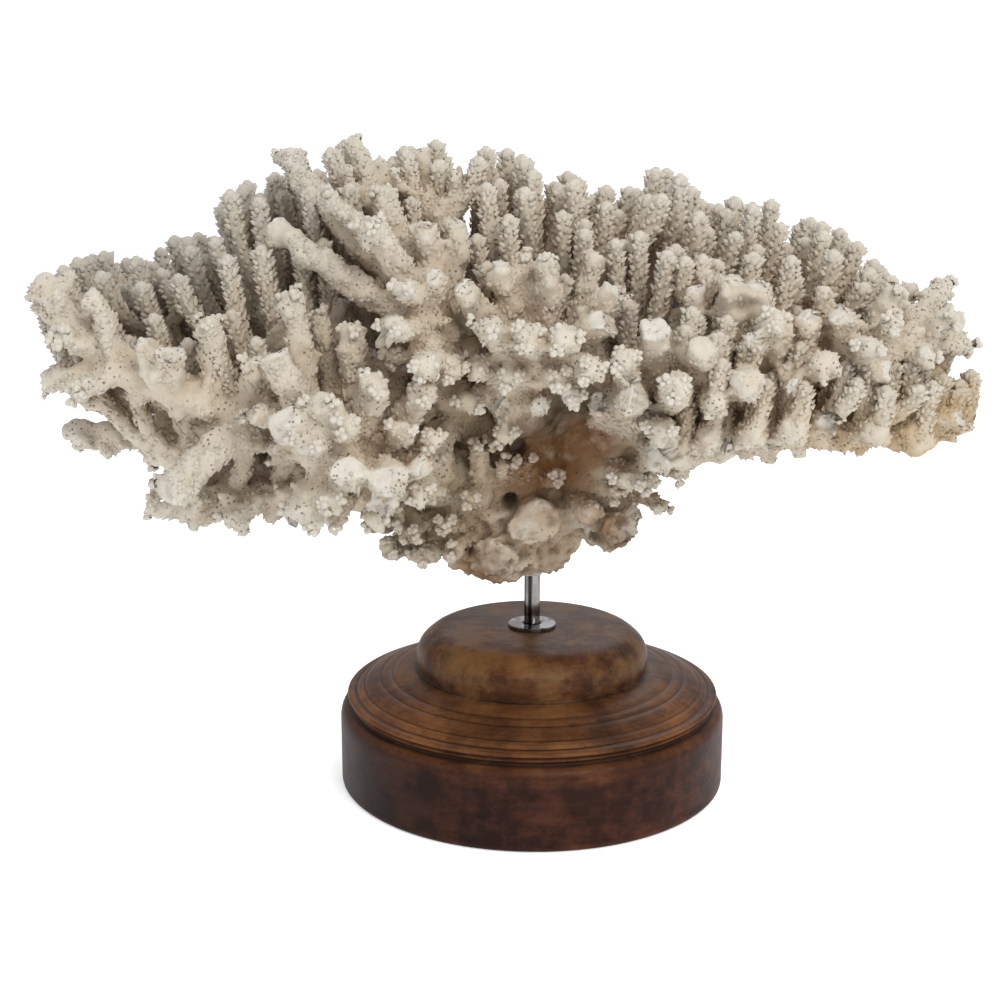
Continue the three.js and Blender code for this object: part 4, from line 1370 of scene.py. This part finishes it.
def coral_material():
    """Dry skeleton: white where it is broken or rubbed, cream on open sides, and tan with painted shade in
    the hollows, pits and pores.
    """
    material, tree, shader = node_material("coral_skeleton")
    cloud = noise_value(tree, 38.0, 4.0)
    fine = noise_value(tree, 900.0, 3.0, 0.7)
    # Painted shade: the less sky a place sees, the darker and browner its colour, over a real tan.
    open_part = math_node(tree, "ADD", attribute(tree, "openness"), times(tree, cloud, 0.16))
    base = color_ramp(tree, open_part, CORAL_TONES_AND_SHADE)
    base = layered(tree, base, CORAL_GREY, spread(tree, noise_value(tree, 14.0, 2.0), 0.45, 0.75), 0.35)
    patchy = spread(tree, noise_value(tree, 70.0, 4.0), 0.24, 0.52)
    # Stains, and the painted shade on the canopy's left, laid on in patches.
    for name, (tint, most) in STAIN_AND_SHADE_TINTS.items():
        base = layered(tree, base, tint, times(tree, attribute(tree, name), patchy), most)
    white = math_node(tree, "ADD", attribute(tree, "whiteness"), attribute(tree, "broken"), clamp=True)
    base = layered(tree, base, CORAL_WHITE, white, 0.8)
    base = layered(tree, base, CORAL_GRAIN, spread(tree, fine, 0.25, 0.8), 0.28, "MULTIPLY")
    pore = pore_strength(tree)
    # Painted shade: dark dots in the pores.
    base = layered(tree, base, PORE_SHADE, pore, 0.75)
    # Painted shade in the pits of the cups and in the foot's hollows.
    base = layered(tree, base, PIT_SHADE, attribute(tree, "pit"), 0.85)
    tree.links.new(base, shader.inputs["Base Color"])
    shader.inputs["Roughness"].default_value = 0.92
    shader.inputs["Specular IOR Level"].default_value = 0.25
    height = math_node(tree, "ADD", fine, times(tree, noise_value(tree, 320.0, 2.0), 1.5))
    bump(tree, shader, math_node(tree, "SUBTRACT", height, times(tree, pore, 1.4)), 0.5, 0.0006)
    return material


def pore_strength(tree):
    """Small round pores in clusters, on skins that have the pores mark: the strength of their dent and of
    their painted shade.
    """
    cells = tree.nodes.new("ShaderNodeTexVoronoi")
    cells.inputs["Scale"].default_value = 410.0
    tree.links.new(object_place(tree), cells.inputs["Vector"])
    dots = spread(tree, cells.outputs["Distance"], 0.30, 0.19)
    clusters = spread(tree, noise_value(tree, 55.0, 2.0), 0.46, 0.56)
    strength = math_node(tree, "MULTIPLY", dots, clusters, clamp=True)
    return math_node(tree, "MULTIPLY", strength, attribute(tree, "pores"), clamp=True)


# Wood stains in red-brown, from dark to bright, and the layers over them, some of them painted shade.
WOOD_TONES = [
    (0.36, (0.013, 0.0055, 0.0032)), (0.50, (0.040, 0.0145, 0.0070)),
    (0.62, (0.082, 0.030, 0.0115)), (0.78, (0.150, 0.060, 0.020)),
]
WOOD_WORN = (0.24, 0.094, 0.028)
WOOD_DIRT_AND_SHADE = (0.012, 0.007, 0.005)
WOOD_LINES = (0.018, 0.009, 0.006)
WOOD_STREAKS = (0.020, 0.0075, 0.005)
WOOD_SCUFFS = (0.23, 0.115, 0.055)
WOOD_GOLDEN = (0.22, 0.118, 0.042)
DRUM_DARK = (0.017, 0.0045, 0.0032)
DRUM_RED = (0.072, 0.022, 0.012)
DRUM_STREAKS = (0.011, 0.0035, 0.003)
DRUM_LEFT_SHADE = (0.006, 0.0025, 0.0018)


def joined_place(tree, x, y, z=None):
    """A place made of numbers, for noise that follows the turning."""
    node = tree.nodes.new("ShaderNodeCombineXYZ")
    for socket, value in zip(node.inputs, (x, y, z)):
        if value is not None:
            tree.links.new(value, socket)
    return node.outputs[0]


def stretched_place(tree, scale):
    node = tree.nodes.new("ShaderNodeMapping")
    node.inputs["Scale"].default_value = scale
    tree.links.new(object_place(tree), node.inputs["Vector"])
    return node.outputs[0]


def wood_material():
    """Dark stained wood, turned: fine rings about the axis, red-brown mottling and worn edges, with painted
    shade in the creases, the hole, underneath, on the drum's side and to the drum's left.
    """
    material, tree, shader = node_material("turned_wood")
    parts = tree.nodes.new("ShaderNodeSeparateXYZ")
    tree.links.new(object_place(tree), parts.inputs[0])
    x, y, z = parts.outputs
    radius = math_node(tree, "SQRT", math_node(tree, "ADD", times(tree, x, x), times(tree, y, y)))
    ring_place = joined_place(tree, radius, z)
    rings = noise_value(tree, 420.0, 3.0, 0.6, ring_place)
    broad_rings = noise_value(tree, 70.0, 3.0, 0.6, ring_place)
    stretched = stretched_place(tree, (0.25, 1.6, 1.6))
    grain = noise_value(tree, 130.0, 5.0, 0.6, stretched)
    mottle = noise_value(tree, 26.0, 5.0, 0.6)
    tone = math_node(tree, "ADD", times(tree, mottle, 0.62), times(tree, grain, 0.3))
    base = color_ramp(tree, math_node(tree, "ADD", tone, times(tree, broad_rings, 0.16)), WOOD_TONES)
    worn = times(tree, attribute(tree, "wear"), spread(tree, mottle, 0.35, 0.65))
    base = mix_colors(tree, worn, base, WOOD_WORN)
    # Painted shade: darker in the creases, the rod's hole, underneath and on the drum's side.
    base = layered(tree, base, WOOD_DIRT_AND_SHADE, attribute(tree, "wood_shade"), 0.85)
    base = layered(tree, base, WOOD_LINES, spread(tree, rings, 0.52, 0.70), 0.35)

    off_axis = math_node(tree, "ADD", radius, 0.001)
    turned_x, turned_y = (times(tree, math_node(tree, "DIVIDE", value, off_axis), 0.02) for value in (x, y))
    turn_place = joined_place(tree, turned_x, turned_y, math_node(tree, "ADD", radius, z))
    streaks = spread(tree, noise_value(tree, 330.0, 5.0, 0.7, turn_place), 0.44, 0.64)
    speckle = spread(tree, noise_value(tree, 520.0, 3.0, 0.65), 0.60, 0.72)
    scuff = spread(tree, noise_value(tree, 60.0, 6.0, 0.75, stretched), 0.58, 0.72)
    base = layered(tree, base, WOOD_STREAKS, streaks, 0.45)
    base = layered(tree, base, WOOD_DIRT_AND_SHADE, speckle, 0.55)
    base = layered(tree, base, WOOD_SCUFFS, scuff, 0.35)

    # The drum is a darker red, darkened most of all to the left by painted shade, and the dome has golden
    # patches.
    blotches = spread(tree, noise_value(tree, 48.0, 6.0, 0.7), 0.44, 0.58)
    left_shade_share = spread(tree, x, 0.03, -0.095)
    red = mix_colors(tree, blotches, DRUM_DARK, DRUM_RED)
    red = layered(tree, red, DRUM_STREAKS, streaks, 0.5)
    red = layered(tree, red, DRUM_LEFT_SHADE, left_shade_share, 0.8)
    shade = math_node(tree, "ADD", times(tree, left_shade_share, 0.2), 0.72)
    base = mix_colors(tree, times(tree, spread(tree, z, 0.043, 0.036), shade), base, red)
    base = layered(tree, base, WOOD_GOLDEN, times(tree, spread(tree, z, 0.052, 0.06), blotches), 0.38)
    tree.links.new(base, shader.inputs["Base Color"])

    rough = math_node(tree, "ADD", times(tree, spread(tree, mottle, 0.2, 0.85), 0.22), 0.36)
    tree.links.new(rough, shader.inputs["Roughness"])
    shader.inputs["Specular IOR Level"].default_value = 0.09
    shader.inputs["Coat Weight"].default_value = 0.015
    shader.inputs["Coat Roughness"].default_value = 0.3
    bump(tree, shader, math_node(tree, "ADD", rings, times(tree, grain, 0.6)), 0.35, 0.0005)
    return material


# Soiling on the steel.
STEEL_SOIL = (0.07, 0.06, 0.05)


def steel_material(name, reflection_streak_size, dark, bright):
    """Smooth bright steel with dark and bright streaks along it that are painted reflection, fine scratches
    and a little soiling.
    """
    material, tree, shader = node_material(name)
    stretched = stretched_place(tree, (1.0, 1.0, 0.03))
    scratches = noise_value(tree, 1800.0, 4.0, 0.6, stretched)
    streaks = noise_value(tree, reflection_streak_size, 1.0, 0.5, stretched)
    soil = noise_value(tree, 160.0, 4.0)
    # Painted reflection: the streaks turn the colour from dark to bright, like stripes reflected along the
    # steel.
    base = color_ramp(tree, streaks, [(0.46, dark), (0.60, bright)])
    base = layered(tree, base, STEEL_SOIL, spread(tree, soil, 0.4, 0.7), 0.35)
    tree.links.new(base, shader.inputs["Base Color"])
    shader.inputs["Metallic"].default_value = 1.0
    tree.links.new(math_node(tree, "ADD", times(tree, soil, 0.14), 0.12), shader.inputs["Roughness"])
    bump(tree, shader, scratches, 0.15, 0.0001)
    return material


def cement_material():
    """Dull pale cement with a grainy surface."""
    material, tree, shader = node_material("pale_cement")
    grains = noise_value(tree, 700.0, 4.0)
    base = color_ramp(tree, grains, [(0.3, (0.34, 0.31, 0.27)), (0.7, (0.62, 0.59, 0.54))])
    tree.links.new(base, shader.inputs["Base Color"])
    shader.inputs["Roughness"].default_value = 0.85
    bump(tree, shader, grains, 0.6, 0.0004)
    return material


def floor_material():
    material, _, shader = node_material("pale_floor")
    shader.inputs["Base Color"].default_value = (FLOOR_WHITE, FLOOR_WHITE, FLOOR_WHITE, 1.0)
    shader.inputs["Roughness"].default_value = 0.9
    shader.inputs["Emission Color"].default_value = (1.0, 1.0, 1.0, 1.0)
    shader.inputs["Emission Strength"].default_value = FLOOR_GLOW
    return material


# Stand pieces

def turned_points(profile, segments):
    """A ring of points round the axis for each (radius, height)."""
    angles = np.arange(segments) * 2 * math.pi / segments
    return np.concatenate([
        np.stack([r * np.cos(angles), r * np.sin(angles), np.full(segments, z)], 1) for r, z in profile
    ])


def bands(pairs, segments):
    """Triangles between pairs of rings, given by their numbers."""
    s = np.arange(segments)
    n = (s + 1) % segments
    triangles = []
    for low, high in pairs:
        a, b, c, d = low * segments + s, low * segments + n, high * segments + n, high * segments + s
        triangles += [np.stack([a, b, c], 1), np.stack([a, c, d], 1)]
    return triangles


def lathe(name, profile, segments, marks):
    """A smooth turned solid from (radius, height) points, with marks given for each point."""
    kept = [k for k, (r, _) in enumerate(profile) if r > 0]
    ends = [[0.0, 0.0, profile[0][1]], [0.0, 0.0, profile[-1][1]]]
    vertices = np.concatenate([turned_points([profile[k] for k in kept], segments), ends])
    triangles = bands([(k, k + 1) for k in range(len(kept) - 1)], segments)
    s = np.arange(segments)
    n = (s + 1) % segments
    bottom, last = len(kept) * segments, (len(kept) - 1) * segments
    triangles.append(np.stack([np.full(segments, bottom), n, s], 1))
    triangles.append(np.stack([np.full(segments, bottom + 1), last + s, last + n], 1))
    mesh = mesh_from(name, vertices, np.concatenate(triangles))
    for key, listed in marks.items():
        set_mark(mesh, key, np.concatenate([np.repeat([listed[k] for k in kept], segments), [0.0, 0.0]]))
    return add_object(name, mesh)


def ring_object(name, profile, segments):
    """A closed ring from a closed (radius, height) outline."""
    triangles = bands([(k, (k + 1) % len(profile)) for k in range(len(profile))], segments)
    vertices = turned_points(profile, segments)
    return add_object(name, mesh_from(name, vertices, np.concatenate(triangles), False))


def arc_profile(points, steps):
    """A turned profile with a rounded run through its points."""
    run = curve_through([(r, z, 0.0) for r, z in points], steps)
    return [(float(p[0]), float(p[1])) for p in run]


def base_profile():
    """The stand's outline as (radius, height, wear, painted shade), from the underside to the rod's hole."""
    outline = []

    def add(points, wear=0.0, wood_shade=0.0):
        for radius, height in points:
            outline.append((radius, height, wear, wood_shade))

    # The last mark is painted shade: in the creases, underneath, on the drum's side and in the hole.
    add([(0.0, 0.0), (DRUM_RADIUS - 1.4, 0.0)], wood_shade=0.5)
    add(arc_profile([(DRUM_RADIUS - 1.0, 0.2), (DRUM_RADIUS - 0.2, 1.0), (DRUM_RADIUS, 2.2)], 3), wear=0.35)
    add([(DRUM_RADIUS, z) for z in (3.5, 6, 12, 18, 24, 30)], wood_shade=0.45)
    add(arc_profile([(DRUM_RADIUS, DRUM_HEIGHT), (DRUM_RADIUS - 0.4, 36.4), (DRUM_RADIUS - 1.4, 38.4),
                     (DRUM_RADIUS - 3.2, 39.5)], 4), wear=0.5)
    add([(GROOVE_RADIUS + 0.6, 39.9), (GROOVE_RADIUS, 40.4)], wood_shade=0.9)
    add([(GROOVE_RADIUS, 41.4)], wood_shade=0.7)
    add(arc_profile([(GROOVE_RADIUS + 0.3, 41.7), (GROOVE_RADIUS + 1.1, 42.4),
                     (GROOVE_RADIUS + 0.3, 43.1)], 3), wear=0.6)
    add([(GROOVE_RADIUS, 43.4), (GROOVE_RADIUS + 0.2, 44.0)], wood_shade=0.9)
    add(arc_profile([(TIER_LIP_RADIUS - 0.6, 44.5), (TIER_LIP_RADIUS, 45.3),
                     (TIER_LIP_RADIUS - 0.7, TIER_HEIGHT), (TIER_LIP_RADIUS - 2.6, TIER_HEIGHT + 0.4)], 3),
        wear=0.6)
    add([(89.6, 47.0), (89.0, 46.8)], wood_shade=0.8)
    add(arc_profile([(88.6, 47.0), (87.6, 48.4), (86.2, 48.9), (85.6, 49.2)], 3), wear=0.7)
    add([(85.2, 49.1)], wood_shade=0.7)
    add([(84.6, 49.7), (82.0, 51.0), (79.5, 52.0), (77.2, 52.9)], wear=0.42)
    add([(76.6, 52.7)], wood_shade=0.6)
    add([(76.0, 53.4), (74.0, 54.0), (71.4, 54.6)], wear=0.38)
    add([(70.9, 54.4)], wood_shade=0.6)
    add([(70.3, 55.0), (67.0, 55.8), (63.0, 56.8), (60.0, 57.4)], wear=0.3)
    add([(58.6, 57.4), (57.9, 57.9)], wood_shade=1.0)
    add(arc_profile([(58.0, 58.6), (DOME_RADIUS, 62.9), (58.0, 67.0), (56.0, 71.0),
                     (DOME_TOP_RADIUS + 6, 74.7), (49.0, 76.4), (DOME_TOP_RADIUS, 77.3),
                     (42.0, BASE_HEIGHT)], 4), wear=0.16)
    hole = ROD_RADIUS + FIT_GAP
    add([(radius, BASE_HEIGHT) for radius in (36.0, 28.0, 20.0, 10.0, hole)], wear=0.1)
    add([(hole, BASE_HEIGHT - 1.0), (hole, BASE_HOLE_BOTTOM), (0.0, BASE_HOLE_BOTTOM)], wood_shade=1.0)
    return outline


def build_stand():
    outline = base_profile()
    base = lathe("stand_base", [(r, z) for r, z, _, _ in outline], 220,
                 {"wear": [w for _, _, w, _ in outline], "wood_shade": [g for _, _, _, g in outline]})
    base.data.materials.append(wood_material())
    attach(base, "root")
    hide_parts("turned_base")

    # Painted reflection in both steels: the rod's streaks run from near black to bright, the washer's are
    # lighter.
    rod_steel = steel_material("rod_steel", 300.0, (0.02, 0.018, 0.018), (0.30, 0.29, 0.28))
    washer_steel = steel_material("washer_steel", 150.0, (0.16, 0.15, 0.145), (0.42, 0.41, 0.40))
    top = BASE_HEIGHT + WASHER_THICKNESS
    hole = ROD_RADIUS + 0.6
    under = BASE_HEIGHT + 0.05
    washer_profile = [
        (hole, under), (WASHER_RADIUS - 0.3, under), (WASHER_RADIUS, BASE_HEIGHT + 0.35),
        (WASHER_RADIUS, top - 0.35), (WASHER_RADIUS - 0.35, top), (hole + 0.3, top), (hole, top - 0.3),
    ]
    washer = ring_object("washer_plate", washer_profile, 96)
    rod_bottom = BASE_HOLE_BOTTOM + FIT_GAP
    rod_profile = [(0.0, rod_bottom), (ROD_RADIUS, rod_bottom), (ROD_RADIUS, 90.0), (ROD_RADIUS, 112.0),
                   (ROD_RADIUS, ROD_TOP), (0.0, ROD_TOP)]
    rod = lathe("rod_bar", rod_profile, 64, {})
    for obj, node, steel in ((washer, "washer", washer_steel), (rod, "rod", rod_steel)):
        obj.data.materials.append(steel)
        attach(obj, "root")
        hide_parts(node)

    collar_profile = [
        (ROD_RADIUS, CEMENT_BOTTOM), (ROD_RADIUS + 0.8, CEMENT_BOTTOM + 0.2),
        (ROD_RADIUS + 1.2, CEMENT_BOTTOM + 1.4), (ROD_RADIUS + 1.6, CEMENT_TOP), (ROD_RADIUS, CEMENT_TOP),
    ]
    collar = ring_object("cement_collar", collar_profile, 48)
    collar.data.materials.append(cement_material())
    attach(collar, "root")
    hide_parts("cement_ring")


def build_coral():
    material = coral_material()
    routes = build_routes()
    grid = openness_grid(routes)
    number = 0
    pieces = [(holdfast_piece("holdfast_body", grid), "coral_holdfast")]
    for limb, spec in enumerate(LIMBS):
        own = [route for route in routes if route["limb"] == limb]
        voxel = BACK_SKIN_VOXEL if spec["name"] in BACK_LIMBS else SKIN_VOXEL
        pieces.append((coral_piece(spec["name"] + "_grown", own, number, grid, voxel), spec["name"]))
        number += len(own)
    for piece, node in pieces:
        piece.data.materials.append(material)
        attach(piece, "root")
        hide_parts(node)


def build_camera():
    data = bpy.data.cameras.new("camera")
    data.lens = CAMERA_LENS
    data.sensor_width = CAMERA_SENSOR
    camera = bpy.data.objects.new("camera", data)
    camera.location = Vector(CAMERA_PLACE) * MM
    camera.rotation_euler = (math.radians(CAMERA_TILT), 0.0, 0.0)
    bpy.context.scene.collection.objects.link(camera)
    bpy.context.scene.camera = camera


def area_light(name, place, size, energy, color):
    data = bpy.data.lights.new(name, "AREA")
    data.shape = "DISK"
    data.size = size
    data.energy = energy
    data.color = color
    light = bpy.data.objects.new(name, data)
    light.location = place
    light.rotation_euler = (Vector(LAMPS_FACE) - Vector(place)).to_track_quat("-Z", "Y").to_euler()
    bpy.context.scene.collection.objects.link(light)


def build_studio():
    corners = [(-1, -1), (1, -1), (1, 1), (-1, 1)]
    vertices = np.array([(x * FLOOR_HALF_SIZE, y * FLOOR_HALF_SIZE, -FLOOR_DROP) for x, y in corners])
    floor = add_object("floor", mesh_from("floor", vertices, [(0, 1, 2), (0, 2, 3)], False))
    floor.data.materials.append(floor_material())
    world = bpy.data.worlds.new("studio")
    world.use_nodes = True
    nodes, links = world.node_tree.nodes, world.node_tree.links
    background = nodes["Background"]
    background.inputs["Color"].default_value = WORLD_COLOR
    strength = nodes.new("ShaderNodeMapRange")
    strength.inputs["To Min"].default_value = WORLD_LIGHT
    strength.inputs["To Max"].default_value = WORLD_SEEN
    links.new(nodes.new("ShaderNodeLightPath").outputs["Is Camera Ray"], strength.inputs["Value"])
    links.new(strength.outputs["Result"], background.inputs["Strength"])
    bpy.context.scene.world = world
    bpy.context.scene.view_settings.view_transform = "Standard"
    for name, (place, size, energy, color) in LAMPS.items():
        area_light(name, place, size, energy, color)


build_camera()
build_stand()
build_coral()
build_studio()
